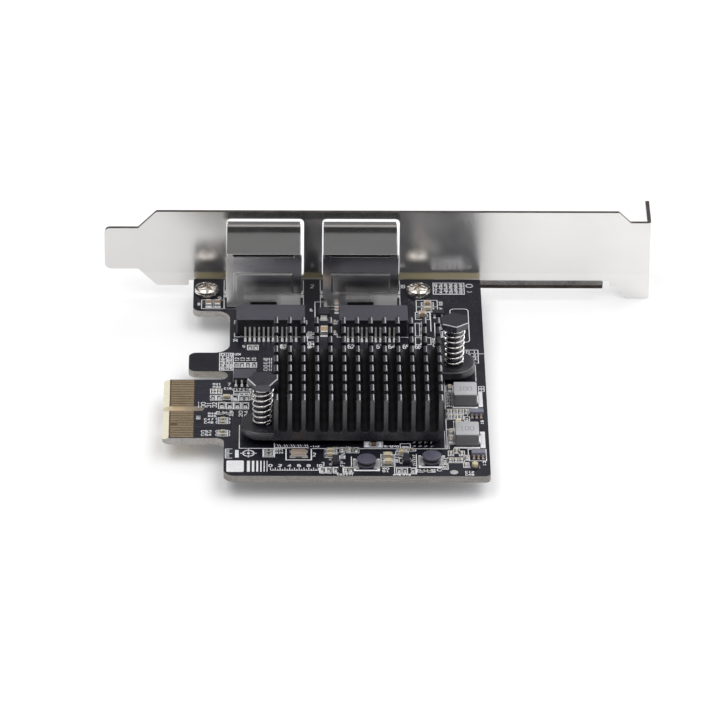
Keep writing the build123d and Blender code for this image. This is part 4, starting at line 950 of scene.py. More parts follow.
# pegs
R_TOP = 0.42
for c in range(FINS):
    px = SX0 + FIN_T / 2 + PITCH_X * c
    for r in range(ROWS):
        y0 = SY0 + PITCH_Y * r
        y1 = y0 + ROW_D
        tall = 8.9 if (c == 0 and r == 1) else 11.5
        sec = [(-0.56, 4.05), (-0.52, 4.25), (-0.50, 4.44), (-0.50, tall - R_TOP)]
        sec += [(-0.5 + R_TOP - R_TOP * math.cos(math.radians(a)), tall - R_TOP + R_TOP * math.sin(math.radians(a))) for a in (15, 30, 45, 60, 75, 90)]
        sec += [(-x, z) for x, z in reversed(sec)]
        n_s = len(sec)

        def section(y, k):
            return [(px + x * (1 - 0.16 * k), y, z - (0.10 * k if z > 6 else 0.0)) for x, z in sec]
        first = len(sink.m)
        sink.loft([section(y0, 1), section(y0 + 0.08, 0), section(y1 - 0.08, 0), section(y1, 1)], 0)
        # end caps, then the three bands between the four sections
        sink.m[first] = 1
        # painted highlight: the right half of each peg's rounded top takes a pale metallic material, the left half the
        # darker cut finish
        for b_ in range(3):
            for j in range(n_s):
                if 3 <= j <= n_s - 5:
                    sink.m[first + 1 + b_ * n_s + j] = 2 if j >= n_s // 2 else 1
        sink.m[first + 1 + 3 * n_s] = 1


def ear(hx, hy, poly):
    """Flat ear round a hole, with a rounded rim."""
    n = 96

    def cast(a):
        dx, dy = math.cos(a), math.sin(a)
        best = 1e9
        for i in range(len(poly)):
            (x1, y1), (x2, y2) = poly[i], poly[(i + 1) % len(poly)]
            ex, ey = x2 - x1, y2 - y1
            den = dx * ey - dy * ex
            if abs(den) < 1e-12:
                continue
            t = ((x1 - hx) * ey - (y1 - hy) * ex) / den
            u = ((x1 - hx) * dy - (y1 - hy) * dx) / den
            if t > 0 and -1e-9 <= u <= 1 + 1e-9:
                best = min(best, t)
        return best

    reach = [cast(2 * math.pi * i / n + 1e-4) for i in range(n)]
    levels = [("in", 1.55, 1.5), ("out", 0.10, 1.5), ("out", 0.0, 1.62), ("out", 0.0, 2.86), ("out", 0.07, 3.05), ("out", 0.20, 3.15),
              ("out", 0.42, 3.2), ("in", 1.72, 3.2), ("in", 1.60, 3.16), ("in", 1.55, 3.05)]
    verts, faces = [], []
    for kind, v, z in levels:
        for i in range(n):
            a = 2 * math.pi * i / n + 1e-4
            d = v if kind == "in" else reach[i] - v
            verts.append((hx + d * math.cos(a), hy + d * math.sin(a), z))
    m_ = len(levels)
    for k in range(m_):
        for i in range(n):
            a, b_ = k * n + i, k * n + (i + 1) % n
            c_, d_ = ((k + 1) % m_) * n + (i + 1) % n, ((k + 1) % m_) * n + i
            faces.append((a, b_, c_, d_))
    sink.add(verts, faces, 1)


ear(34.9, -68.1, arc(30.3 + 4.45, -63.5 - 4.45, 4.45, 90, 180, 14) + arc(30.3 + 4.45, -73.1 + 4.45, 4.45, 180, 270, 14) + [(37.73, -73.1), (37.73, -63.5)])
ear(75.8, -43.1, arc(80.4 - 4.45, -38.1 - 4.45, 4.45, 90, 0, 14) + arc(80.4 - 4.45, -47.7 + 4.45, 4.45, 0, -90, 14) + [(72.35, -47.7), (72.35, -38.1)])
sink.mesh("pin_fin_heatsink", [M["heatsink"], M["sink_cut"], M["sink_rub"]], slot="black_anodised", replaces=("heatsink",), smooth=32)

# ------------------------------------------------------------------ power inductors: pale lid, dark sides, clipped terminals
ind = Shape()
for x, y in ((78.0, -53.5), (78.0, -70.0)):
    def sq(inset, z, r=0.3):
        return [(a, b, z) for a, b in rounded(x - 2.475 + inset, x + 2.475 - inset, y - 2.7 + inset, y + 2.7 - inset, r, 3)]
    ind.loft([sq(0.10, 0.0), sq(0.02, 0.10), sq(0.0, 0.2), sq(0.0, 2.72)], 1)
    ind.loft([sq(0.0, 2.70), sq(0.01, 2.80), sq(0.05, 2.87), sq(0.13, 2.90, 0.22)], 0)
    # terminals on the two ends, and the marking on the lid
    for k in (-1, 1):
        xa, xb = sorted((x + k * 2.42, x + k * 2.475))
        ind.box(xa, xb, y - 1.5, y + 1.5, 0.02, 1.15, 2)
    write(ind, "100", x - 1.55, y - 1.05, x + 1.55, y + 0.75, 2.885, 0.24, 0, 3, 0.018)
ind.mesh("moulded_inductors", [M["inductor_top"], M["inductor_side"], M["tin"], M["marking"]], slot="inductor_grey",
         replaces=("power_inductors",), smooth=30)

# ------------------------------------------------------------------ drum inductors: ferrite, wound wire
drums, coils = Shape(), Shape()
for x, y in ((56.7, -80.1), (70.4, -78.7)):
    drums.lathe([(0, 0.0), (1.85, 0.0), (1.95, 0.06), (1.95, 0.34), (1.85, 0.40), (1.12, 0.46), (1.12, 1.04), (1.9, 1.12),
                 (2.0, 1.18), (2.0, 1.44), (1.93, 1.51), (1.75, 1.545), (0, 1.55)], x, y, 56, 0)
    for lay, (r, z0, z1) in enumerate(((1.26, 0.55, 0.95), (1.47, 0.55, 0.95))):
        turns = 4
        path = []
        for i in range(turns * 24 + 1):
            a = 2 * math.pi * i / 24
            path.append((x + r * math.cos(a), y + r * math.sin(a), z0 + (z1 - z0) * i / (turns * 24)))
        coils.tube(path, 0.085, 8)
drums.mesh("drum_cores", [M["ferrite"]], slot="ferrite", replaces=("drum_inductor_cores",), smooth=32)
coils.mesh("drum_windings", [M["enamel"]], slot="enamel_copper", replaces=("drum_inductor_windings",), smooth=50)

# ------------------------------------------------------------------ crystal: brown base, seam ring, bright lid
can = Shape()
cx_, cy_c = 42.5, -76.1


def can_ring(inset, z, r):
    return [(a, b, z) for a, b in rounded(cx_ - 1.6 + inset, cx_ + 1.6 - inset, cy_c - 1.25 + inset, cy_c + 1.25 - inset, r, 4)]


can.loft([can_ring(0.0, 0.0, 0.3), can_ring(0.0, 0.44, 0.3)], 1)
can.loft([can_ring(0.10, 0.43, 0.28), can_ring(0.10, 0.50, 0.28)], 2)
can.loft([can_ring(0.17, 0.49, 0.25), can_ring(0.17, 0.72, 0.25), can_ring(0.20, 0.78, 0.22), can_ring(0.28, 0.80, 0.18)], 0)
can.mesh("crystal_with_lid", [M["crystal"], M["crystal_base"], M["solder"]], slot="crystal_metal", replaces=("crystal_can",), smooth=35)

# ------------------------------------------------------------------ push pin springs, closed at both ends
for side_name, (px, py) in (("left", (34.9, -68.1)), ("right", (75.8, -43.1))):
    s = Shape()
    path = []
    low, high, wire = 3.44, 11.96, 0.45
    flat, active = 0.75, 5.9
    lift = wire * flat
    total = flat * 2 + active
    steps = 34
    n_all = int(total * steps)
    for i in range(n_all + 1):
        t = total * i / n_all
        if t < flat:
            z = low + lift * (t / flat)
        elif t > total - flat:
            z = high - lift * ((total - t) / flat)
        else:
            z = low + lift + (high - low - 2 * lift) * (t - flat) / active
        r = 1.88 + 0.27 * (z - low) / (high - low) + 0.02 * math.sin(t * 2.3)
        a = 2 * math.pi * t - (1.2 if side_name == "left" else 0.3)
        path.append((px + r * math.cos(a), py + r * math.sin(a), z))
    s.tube(path, wire / 2, 12)
    ob = s.mesh(f"wound_spring_{side_name}", [M["spring"]], slot="spring_steel", replaces=(f"push_pin_spring_{side_name}",), smooth=60)
    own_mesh(ob)

# ------------------------------------------------------------------ bracket screws: pan head with a cross recess
def screw(shape, x, y, turn):
    """Pan head as a polar height field, over a threaded shank."""
    radii = [0.0, 0.12, 0.24, 0.36, 0.48, 0.6, 0.74, 0.9, 1.06, 1.22, 1.38, 1.54, 1.72, 1.9, 2.08, 2.24, 2.38, 2.5, 2.58, 2.63, 2.65]
    n = 96

    def dome(r):
        if r > 2.55:
            return 0.75 + 0.18 * math.sqrt(max(0.0, 1 - ((r - 2.55) / 0.10) ** 2))
        return 0.93 + 1.07 * math.sqrt(max(0.0, 1 - (r / 2.72) ** 2)) * 0.985

    def depth(r, a):
        u, v = r * math.cos(a), r * math.sin(a)
        best = 1e9
        for p, q in ((u, v), (v, u)):
            # arm along p, half width 0.40, half length 1.7, sloped walls
            d = max(abs(q) - 0.40 + 0.06 * abs(p), abs(p) - 1.72)
            best = min(best, d)
        return best

    verts = []
    rows = []
    for k, r in enumerate(radii):
        if k == 0:
            rows.append([len(verts)])
            verts.append((0.0, 0.0, 0.75))
            continue
        row = []
        for j in range(n):
            a = 2 * math.pi * j / n
            top = dome(r)
            d = depth(r, a)
            if d < 0.0:
                z = max(0.75 + 0.12 * r, top - 0.12 - 7.0 * (-d))
            elif d < 0.10:
                z = top - 0.12 * (1 - d / 0.10) ** 2
            else:
                z = top
            row.append(len(verts))
            verts.append((r * math.cos(a), r * math.sin(a), z))
        rows.append(row)
    faces = []
    for k in range(len(rows) - 1):
        a, b = rows[k], rows[k + 1]
        for j in range(n):
            j2 = (j + 1) % n
            if len(a) == 1:
                faces.append((a[0], b[j], b[j2]))
            else:
                faces.append((a[j], b[j], b[j2], a[j2]))
    last = rows[-1]
    below = [(2.65, 0.2), (2.58, 0.06), (2.5, 0.0), (1.43, 0.0)]
    z = 0.0
    while z > -3.4:
        below += [(1.43, z - 0.02), (1.30, z - 0.22), (1.30, z - 0.28), (1.43, z - 0.46)]
        z -= 0.5
    below += [(1.3, -3.75), (1.0, -3.9)]
    for r, zz in below:
        row = []
        for j in range(n):
            a = 2 * math.pi * j / n
            row.append(len(verts))
            verts.append((r * math.cos(a), r * math.sin(a), zz))
        for j in range(n):
            j2 = (j + 1) % n
            faces.append((last[j], row[j], row[j2], last[j2]))
        last = row
    faces.append(tuple(reversed(last)))
    n0 = len(shape.v)
    shape.add(verts, faces, 0)
    put(shape, n0, x, y, turn)


screws = Shape()
screw(screws, 22.55, -7.7, 25)
screw(screws, 68.9, -7.7, 65)
screws.mesh("cross_head_screws", [M["screw"]], slot="screw_nickel", replaces=("bracket_screws",), smooth=38)

# ------------------------------------------------------------------ pads and solder at the leads
for cx_t, cy_t in ((36.55, -23.4), (58.8, -23.5)):
    for i in range(12):
        lx = cx_t + (i - 5.5)
        for k in (-1, 1):
            edge = cy_t + k * 3.35
            y_in, y_out = edge + k * 0.95, edge + k * 2.30
            metal.box(lx - 0.29, lx + 0.29, min(y_in, y_out), max(y_in, y_out), 0.0, 0.03)
            n0 = len(joints.v)
            joints.strip([(0.0, 0.02), (0.42, 0.02), (0.40, 0.06), (0.2, 0.12), (0.05, 0.20), (-0.02, 0.21)], "y", -0.23, 0.23)
            put(joints, n0, lx, edge + k * 1.85, 90 if k > 0 else -90)
for i in range(4):
    for k in (-1, 1):
        lx, ly = 31.05 + (i - 1.5) * 1.27, -45.0 + k * 2.72
        metal.box(lx - 0.3, lx + 0.3, ly - 0.55, ly + 0.55, 0.0, 0.03)
for x, y in ((80.3, -59.6), (80.25, -76.4)):
    for i in (-1, 0, 1):
        for k in (-1, 1):
            metal.box(x + i * 0.95 - 0.28, x + i * 0.95 + 0.28, y + k * 1.28 - 0.33, y + k * 1.28 + 0.33, 0.0, 0.03)
for x, y, along in ((50.3, -79.2, True), (65.1, -78.6, True), (73.05, -17.2, False)):
    half = 0.65 if along else 0.75
    for s_, offs in ((-1, (-0.95, 0.95)), (1, (0.0,))):
        for off in offs:
            if along:
                ux, uy = x + s_ * (half + 0.45), y + off
                metal.box(ux - 0.35, ux + 0.35, uy - 0.32, uy + 0.32, 0.0, 0.03)
            else:
                ux, uy = x + off * 0.85, y + s_ * (half + 0.45)
                metal.box(ux - 0.32, ux + 0.32, uy - 0.35, uy + 0.35, 0.0, 0.03)
for k in (-1, 1):
    metal.box(48.1 - 0.85, 48.1 + 0.85, -17.3 + k * 2.1 - 0.45, -17.3 + k * 2.1 + 0.45, 0.0, 0.03)
# power inductors: a pad and a ragged solder bead at each end
for x, y in ((78.0, -53.5), (78.0, -70.0)):
    for k in (-1, 1):
        metal.box(x + k * 2.6 - 0.42, x + k * 2.6 + 0.42, y - 1.75, y + 1.75, 0.0, 0.03)
        n0 = len(joints.v)
        joints.strip([(0.0, 0.02), (0.42, 0.02), (0.36, 0.07), (0.20, 0.22), (0.08, 0.45), (0.0, 0.55)], "y", -1.5, 1.5)
        put(joints, n0, x + k * 2.46, y, 0 if k > 0 else 180)
# drum inductors: side pads
for x, y in ((56.7, -80.1), (70.4, -78.7)):
    for k in (-1, 1):
        metal.box(x + k * 2.15 - 0.62, x + k * 2.15 + 0.62, y - 1.9, y + 1.9, 0.0, 0.03)
        n0 = len(joints.v)
        joints.strip([(-0.15, 0.02), (0.42, 0.02), (0.34, 0.08), (0.12, 0.2), (-0.02, 0.36), (-0.15, 0.36)], "y", -1.0, 1.0)
        put(joints, n0, x + k * 1.93, y, 0 if k > 0 else 180)
# crystal pads
for a in (-1, 1):
    for b in (-1, 1):
        metal.box(42.5 + a * 1.3 - 0.62, 42.5 + a * 1.3 + 0.62, -76.1 + b * 1.0 - 0.52, -76.1 + b * 1.0 + 0.52, 0.0, 0.03)


def blob(x, y, r, z, rise, n=14):
    """Small rounded mound of solder standing on z."""
    joints.lathe([(0, z), (r, z), (r * 0.93, z + rise * 0.22), (r * 0.72, z + rise * 0.55), (r * 0.45, z + rise * 0.85), (0, z + rise)], x, y, n)


# jack legs, pegs and their rings: solder mounds above at the shield legs, cones below
for c in (35.0, 56.12):
    for k in (-1, 1):
        metal.box(c + k * 7.925 - 0.75, c + k * 7.925 + 0.75, -8.2 - 1.55, -8.2 + 1.55, 0.0, 0.02)
    for k in (-1, 1):
        blob(c + k * 8.45, -8.3, 0.40, 0.0, 0.52)
# rings round the screw and pin holes
for x, y, r0, r1 in ((22.55, -7.7, 1.62, 2.35), (68.9, -7.7, 1.62, 2.35)):
    metal.ring(x, y, r0, r1, 0.0, 0.012, 36)
# reference disc at the front right
metal.disc(75.0, -83.25, 0.85, 0.0, 0.03, 28)
joints.mesh("solder_joints", [M["solder"]], slot="tinned_lead", smooth=40)

# ------------------------------------------------------------------ copper under the mask: tracks, vias, bare strip at the contacts
copper = Shape()


def track(pts, w=0.2):
    copper.band(pts, w, 0.0, 0.010, 0)


def via(x, y, r=0.28):
    copper.ring(x, y, 0.13, r, 0.0, 0.022, 14, 1)
    copper.disc(x, y, 0.135, 0.0, 0.006, 10, 2)


lanes = [-46.91, -47.91, -49.91, -50.91, -52.91, -53.91, -55.91, -58.91, -60.91, -61.91, -63.91, -64.91, -66.91, -67.91]
for i, y in enumerate(lanes):
    if y in (-47.91, -50.91, -53.91, -61.91, -64.91, -67.91):
        end = 23.6 + 0.35 * (i % 4)
        track([(20.2, y), (22.3, y), (end, y + (0.6 if i % 2 else -0.5))], 0.34)
        via(end, y + (0.6 if i % 2 else -0.5), 0.3)
    else:
        track([(20.2, y), (24.2, y), (25.0, y + 0.3)], 0.22)
for i in range(8):
    y = -50.3 - i * 0.5
    track([(33.6, y - 5), (35.2 + 0.1 * i, y - 5), (36.4 + 0.1 * i, y - 6.2)], 0.16)
for cx_t in (36.55, 58.8):
    for i in range(12):
        lx = cx_t + (i - 5.5)
        if i % 3 == 1:
            track([(lx, -29.0), (lx, -30.6)], 0.22)
            via(lx, -30.7, 0.27)
        else:
            bend = -0.35 * (i - 5.5)
            track([(lx, -29.0), (lx, -31.6 - 0.12 * abs(i - 5.5)), (lx + bend, -33.6), (lx + bend, -38.6)], 0.17)
        if i % 2 == 0:
            track([(lx, -17.9), (lx, -16.2), (lx + 0.4 * (1 if i < 6 else -1), -15.2)], 0.2)
for x0, y0, x1, y1, n, pitch in ((28.6, -70.2, 28.6, -60.6, 5, 0.45), (56.0, -74.9, 63.0, -74.9, 2, 0.5)):
    for i in range(n):
        off = i * pitch
        track([(x0 + off, y0), (x0 + off, y1 - off)], 0.18) if x0 == x1 else track([(x0, y0 - off), (x1, y1 - off)], 0.18)
for i in range(4):
    for j in range(2):
        via(66.5 + i * 1.33, -71.0 - j * 1.9, 0.36)
spots = random.Random(5)
keep_out = [(x, y, 1.4) for x, y, *_ in SMALL_CAPACITORS + LARGE_CAPACITORS + RESISTORS]
for k in range(150):
    x, y = spots.uniform(28.5, 81.8), spots.uniform(-84.0, -2.5)
    if 35.8 < x < 74.3 and -74.4 < y < -37.0:
        continue
    if any((x - a) ** 2 + (y - b) ** 2 < c * c for a, b, c in keep_out):
        continue
    if -27.5 < y < -19.0 and 28.0 < x < 67.5:
        continue
    via(x, y, spots.choice((0.24, 0.27, 0.3)))
for x, y in ((81.2, -11.4), (81.1, -18.5), (81.1, -23.7), (81.8, -15.8), (81.4, -30.2), (27.9, -16.6), (80.0, -36.0)):
    via(x, y, 0.27)
for k in range(60):
    x, y = spots.uniform(28.8, 80.5), spots.uniform(-83.5, -3.0)
    if 35.8 < x < 74.3 and -74.4 < y < -37.0 or (-28.5 < y < -18.0 and 28.0 < x < 67.5):
        continue
    dx, dy = spots.choice(((1, 0), (0, 1), (0.7, 0.7), (0.7, -0.7)))
    run = spots.uniform(1.5, 4.5)
    turn_x, turn_y = spots.choice(((1, 0), (0, 1), (0.7, 0.7)))
    x1, y1 = x + dx * run, y + dy * run
    x2, y2 = x1 + turn_x * run * 0.6, y1 + turn_y * run * 0.6
    if min(x, x1, x2) < 28.0 or max(x, x1, x2) > 82.0 or max(y, y1, y2) > -2.4 or min(y, y1, y2) < -84.3:
        continue
    track([(x, y), (x1, y1), (x2, y2)], spots.choice((0.15, 0.2, 0.3)))
# bare laminate between the contacts
copper.box(15.06, 20.34, -68.9, -58.45, -0.001, 0.005, 3)
copper.box(15.06, 20.34, -56.37, -45.45, -0.001, 0.005, 3)
copper.mesh("masked_tracks", [M["trace"], M["via"], M["hole"], M["laminate"]], slot="board")
metal.mesh("tinned_pads", [M["pad"]], slot="tinned_lead")

# solder side: cones at the through legs, plain vias
under = Shape()
B = -BOARD_T


def cone(x, y, r, drop, n=16):
    under.lathe([(0, B - drop), (r * 0.22, B - drop * 0.97), (r * 0.38, B - drop * 0.6), (r * 0.62, B - drop * 0.28), (r * 0.92, B - 0.08),
                 (r, B - 0.03), (r, B), (0, B)], x, y, n, 0)
    under.ring(x, y, r * 0.9, r * 1.18, B - 0.03, B, n, 1)


for c in (35.0, 56.12):
    for i in range(8):
        cone(c + (i - 3.5) * 1.02, (-9.6, -12.1)[i % 2], 0.66, 1.45)
    for k in (-1, 1):
        n0 = len(under.v)
        under.loft([[(0.28 * a, 0.95 * b, B - 1.35) for a, b in ((-1, -1), (1, -1), (1, 1), (-1, 1))],
                    [(0.5 * a, 1.15 * b, B - 0.5) for a, b in ((-1, -1), (1, -1), (1, 1), (-1, 1))],
                    [(0.85 * a, 1.55 * b, B - 0.06) for a, b in ((-1, -1), (1, -1), (1, 1), (-1, 1))],
                    [(0.9 * a, 1.6 * b, B) for a, b in ((-1, -1), (1, -1), (1, 1), (-1, 1))]], 0)
        put(under, n0, c + k * 7.925, -8.2)
        n0 = len(under.v)
        under.ring(c + k * 6.35, -5.2, 1.64, 2.0, B - 0.012, B, 28, 1)
for x, y in ((22.55, -7.7), (68.9, -7.7)):
    under.ring(x, y, 1.62, 2.35, B - 0.012, B, 36, 1)
for k in range(170):
    x, y = spots.uniform(29.0, 81.5), spots.uniform(-83.8, -13.5)
    if (x - 34.9) ** 2 + (y + 68.1) ** 2 < 9 or (x - 75.8) ** 2 + (y + 43.1) ** 2 < 9:
        continue
    under.ring(x, y, 0.13, 0.27, B - 0.02, B, 12, 2)
    under.disc(x, y, 0.135, B - 0.005, B, 10, 3)
for k in range(70):
    x, y = spots.uniform(30.0, 78.0), spots.uniform(-82.0, -15.0)
    dx, dy = spots.choice(((1, 0), (0, 1), (0.7, 0.7), (0.7, -0.7)))
    run = spots.uniform(2.0, 7.0)
    x1, y1 = min(max(x + dx * run, 29.0), 81.8), min(max(y + dy * run, -84.0), -14.0)
    if math.hypot(x1 - x, y1 - y) > 0.8:
        under.band([(x, y), (x1, y1)], 0.2, B - 0.009, B, 4)
under.box(15.06, 20.34, -68.9, -58.45, B - 0.005, B + 0.001, 5)
under.box(15.06, 20.34, -56.37, -45.45, B - 0.005, B + 0.001, 5)
under.mesh("solder_side", [M["solder"], M["pad"], M["via"], M["hole"], M["trace"], M["laminate"]], slot="board", smooth=35)

# ------------------------------------------------------------------ white ink on the component face
frame_box(21.45, 26.42, -10.83, -14.72)
line([(23.95, -10.83), (23.95, -14.72)])
tag("8", 20.55, 21.15, -13.4, -11.9, 90)
tag("9", 24.9, 25.8, -10.5, -9.4)
for x0, x1 in ((26.55, 43.45), (47.67, 64.57)):
    line([(x0 - 0.25, -2.0), (x0 - 0.25, -14.75), (x0 + 2.2, -14.75)])
    line([(x1 + 0.25, -2.0), (x1 + 0.25, -14.75), (x1 - 2.2, -14.75)])
    line([(x0 - 0.25, -14.75), (x1 + 0.25, -14.75)], 0.12)
for cx_t, cy_t in ((36.55, -23.4), (58.8, -23.5)):
    x0, x1 = cx_t - 7.85, cx_t + 7.85
    line([(x0, -25.2), (x0, -26.95), (x1, -26.95), (x1, -25.2)], 0.15)
    line([(x0, -21.4), (x0, -19.9), (x1, -19.9), (x1, -21.4)], 0.15)
    line([(x0 + 0.9, -25.9), (x0 + 1.5, -25.3), (x0 + 1.5, -26.5), (x0 + 0.9, -25.9)], 0.16)
tag("30", 28.45, 29.4, -29.15, -27.75, 90)
tag("5", 30.45, 31.1, -31.6, -30.6)
# table of settings by the locating leg: ruled cells with plain numbers
frame_box(25.57, 28.51, -33.95, -41.30)
for i in range(1, 6):
    y = -33.95 - i * 1.225
    line([(25.57, y), (28.51, y)], 0.10)
line([(27.0, -33.95), (27.0, -41.3)], 0.10)
for i in range(6):
    y1 = -34.1 - i * 1.225
    tag(str(i), 25.75, 26.8, y1 - 0.92, y1, 0, 0.15)
    tag(str((i * 37) % 90 + 10), 27.15, 28.4, y1 - 0.92, y1, 0, 0.13)
tag("1234", 28.7, 30.2, -34.9, -34.0, 0, 0.12)
for i, n in enumerate(("12", "13", "14", "15")):
    tag(n, 28.85 + i * 1.22, 29.75 + i * 1.22, -37.4, -35.8, 90)
# cluster beside the heatsink
for k, (a, b) in enumerate(((-36.0, -37.2), (-37.5, -38.7), (-39.0, -40.2), (-40.5, -41.6))):
    tag(("40", "41", "42", "43")[k], 35.0, 36.1, b, a, 90)
    line([(36.35, a), (36.35, b)], 0.14)
    line([(36.75, a), (36.75, b)], 0.14)
line([(28.62, -41.7), (28.62, -46.35)], 0.14)
line([(28.62, -41.7), (30.4, -41.7)], 0.14)
tag("R21", 24.2, 26.0, -47.55, -46.75)
tag("R22", 24.2, 26.0, -48.7, -47.9)
tag("7", 27.3, 28.1, -47.9, -46.6)
tag("C16", 26.6, 28.3, -49.45, -48.55)
tag("C17", 28.45, 30.3, -49.9, -48.95)
tag("C18", 30.6, 32.5, -49.9, -48.95)
frame_box(28.7, 32.3, -50.25, -51.15)
for x0, x1 in ((29.95, 30.85), (31.0, 31.95)):
    frame_box(x0, x1, -50.85, -51.75)
tag("1", 21.0, 21.6, -57.1, -54.6)
tag("30", 21.75, 22.75, -57.1, -54.6, 90)
tag("31", 22.95, 23.95, -57.1, -54.6, 90)
tag("32", 24.15, 25.15, -57.1, -54.6, 90)
tag("R44", 23.3, 25.1, -59.9, -59.05)
tag("R45", 23.3, 25.1, -61.0, -60.15)
tag("19", 27.75, 28.65, -60.9, -58.1, 90)
tag("20", 29.8, 30.65, -60.9, -58.1, 90)
tag("24", 31.0, 31.85, -60.9, -58.1, 90)
tag("C47", 22.5, 24.5, -62.35, -61.45)
tag("C48", 22.5, 24.5, -63.6, -62.7)
tag("C52", 21.9, 24.2, -67.35, -66.4)
tag("C54", 21.9, 24.2, -68.7, -67.75)
tag("81", 20.8, 21.7, -61.9, -60.1, 90)
for y in (-61.7, -63.1, -66.9, -68.2):
    line([(25.2, y - 0.55), (24.98, y), (25.2, y + 0.55)], 0.12)
    line([(27.8, y - 0.55), (28.02, y), (27.8, y + 0.55)], 0.12)
# outline of the heatsink
line([(30.0, -64.2), (30.0, -73.75), (73.75, -73.75), (73.75, -45.2)], 0.17)
line([(74.15, -66.5), (74.15, -73.9)], 0.15)
line([(73.35, -66.5), (73.35, -73.4)], 0.12)
line([(80.55, -38.8), (80.55, -45.7)], 0.17)
# front left: ruler, target, blank label, line-width bars, ruler with figures
for i in range(9):
    y = -73.98 - i * 0.47
    line([(27.1, y), (28.55 if i % 4 == 0 else 27.95, y)], 0.15)
line([(27.1, -73.98), (27.1, -77.74)], 0.15)
block(29.12, 29.91, -74.42, -77.5)
silk.ring(31.95, -75.75, 1.05, 1.32, 0.0, SILK_T, 36)
silk.disc(31.95, -75.75, 0.34, 0.0, SILK_T, 20)
for dx, dy in ((1, 0), (-1, 0), (0, 1), (0, -1)):
    line([(31.95 + dx * 0.62, -75.75 + dy * 0.62), (31.95 + dx * 1.75, -75.75 + dy * 1.75)], 0.18)
silk.prism(rounded(27.35, 31.0, -83.3, -78.7, 0.35, 4), 0.0, SILK_T)
x = 31.65
for w in (0.62, 0.5, 0.4, 0.3, 0.22, 0.15):
    block(x, x + w, -83.2, -78.8)
    x += w + 0.42
line([(36.6, -82.6), (46.6, -82.6)], 0.16)
for i in range(21):
    x = 36.6 + i * 0.5
    line([(x, -82.6), (x, -81.55 if i % 2 == 0 else -82.05)], 0.14)
for i in range(0, 11, 2):
    tag(str(i % 10) if i < 10 else "10", 36.15 + i, 37.05 + i + (0.4 if i == 10 else 0), -81.25, -80.15, 0, 0.17)
frame_box(35.0, 37.42, -73.95, -77.2, 0.15)
tag("R71", 37.6, 39.35, -74.75, -73.95)
tag("R74", 37.6, 39.35, -75.95, -75.1)
frame_box(39.84, 45.16, -73.78, -78.4, 0.22)
tag("2", 45.45, 46.15, -77.0, -75.5, 0, 0.16)
# worn marks in front of the heatsink; most are drawn in ink that glows, painted light in the shade under the heatsink
rub = random.Random(8)
for i in range(15):
    x = 37.5 + i * 0.48
    line([(x, -72.05 - rub.random() * 0.3), (x + 0.3, -73.2 + rub.random() * 0.3)], 0.12, glow_ink if i % 3 else dim)
line([(37.4, -71.6), (37.4, -73.4), (44.6, -73.4)], 0.14, glow_ink)
tag("-1+2", 44.9, 46.9, -73.2, -72.6, 0, 0.1, glow_ink)
for y in (-74.9, -76.7):
    line([(47.9, y - 0.75), (47.9, y + 0.75)], 0.14)
tag("C82", 50.95, 52.3, -77.9, -76.5, 90)
tag("F1", 51.2, 52.2, -81.0, -79.3, 90)
for i in range(5):
    line([(51.35 + 0.12 * (i % 2), -73.6 - i * 0.62), (52.2, -73.9 - i * 0.62)], 0.14)
tag("3", 47.2, 47.95, -80.9, -79.3)
for x0, x1 in ((47.0, 48.0), (48.3, 49.3), (49.75, 50.75), (51.9, 52.85), (52.95, 53.95)):
    frame_box(x0, x1, -81.3, -83.75, 0.13)
tag("C83", 50.5, 52.1, -84.6, -83.9)
tag("C71", 52.35, 53.95, -84.6, -83.9)
frame_box(56.35, 60.2, -71.0, -73.15, 0.12, glow_ink)
block(56.5, 57.35, -71.2, -73.0, glow_ink)
block(59.2, 60.0, -71.2, -73.0, glow_ink)
tag("51-52+53", 60.5, 63.6, -73.2, -72.45, 0, 0.13, glow_ink)
frame_box(63.9, 66.0, -71.7, -73.3, 0.15, glow_ink)
line([(64.3, -72.9), (65.6, -72.9)], 0.2, glow_ink)
for x in (66.9, 68.15, 69.35, 70.6):
    for y in (-71.25, -72.85):
        line([(x - 0.22, y - 0.22), (x - 0.22, y + 0.22), (x + 0.22, y + 0.22)], 0.17, glow_ink)
tag("86", 52.4, 53.3, -75.2, -73.0)
for x in (50.4, 51.6, 53.2, 54.6):
    frame_box(x - 0.6, x + 0.6, -75.5, -73.3, 0.13)
# inductor outlines: white field round each drum, doubled line at its left
for x, y, x0, x1, y0, y1 in ((56.7, -80.1, 53.9, 59.5, -82.85, -77.35), (70.4, -78.7, 67.6, 73.2, -81.5, -76.1)):
    for a, b, c, d in ((x0, x1, y0, y - 2.25), (x0, x0 + 0.6, y - 2.25, y + 2.2), (x1 - 0.6, x1, y - 2.25, y + 2.2)):
        block(a, b, c, d)
line([(53.55, -77.0), (53.55, -83.1)], 0.16)
line([(67.2, -76.0), (67.2, -81.6)], 0.16)
frame_box(59.75, 62.65, -76.1, -80.9, 0.15)
line([(59.75, -78.45), (62.65, -78.45)], 0.12)
tag("90", 59.9, 61.5, -82.2, -81.4)
tag("91", 59.9, 61.5, -83.3, -82.5)
frame_box(62.55, 65.85, -81.3, -84.05, 0.15)
frame_box(65.95, 67.1, -81.5, -84.0, 0.13)
tag("4", 70.5, 71.3, -83.5, -82.1)
silk.band(arc(71.95, -82.3, 0.5, 30, 330, 10), 0.16, 0.0, SILK_T)
tag("R76", 62.2, 63.9, -85.0 + 0.35, -84.15)
tag("R73", 64.2, 65.9, -85.0 + 0.35, -84.15)
for i in range(6):
    line([(66.35 + 0.1 * (i % 2), -76.3 - i * 0.78), (67.0, -76.75 - i * 0.78)], 0.15)
for i in range(4):
    line([(51.15, -74.0 - i * 0.5), (51.9, -74.2 - i * 0.5)], 0.12)
tag("C12", 77.3, 79.2, -83.55, -82.75)
tag("C48", 77.3, 79.2, -84.6, -83.8)
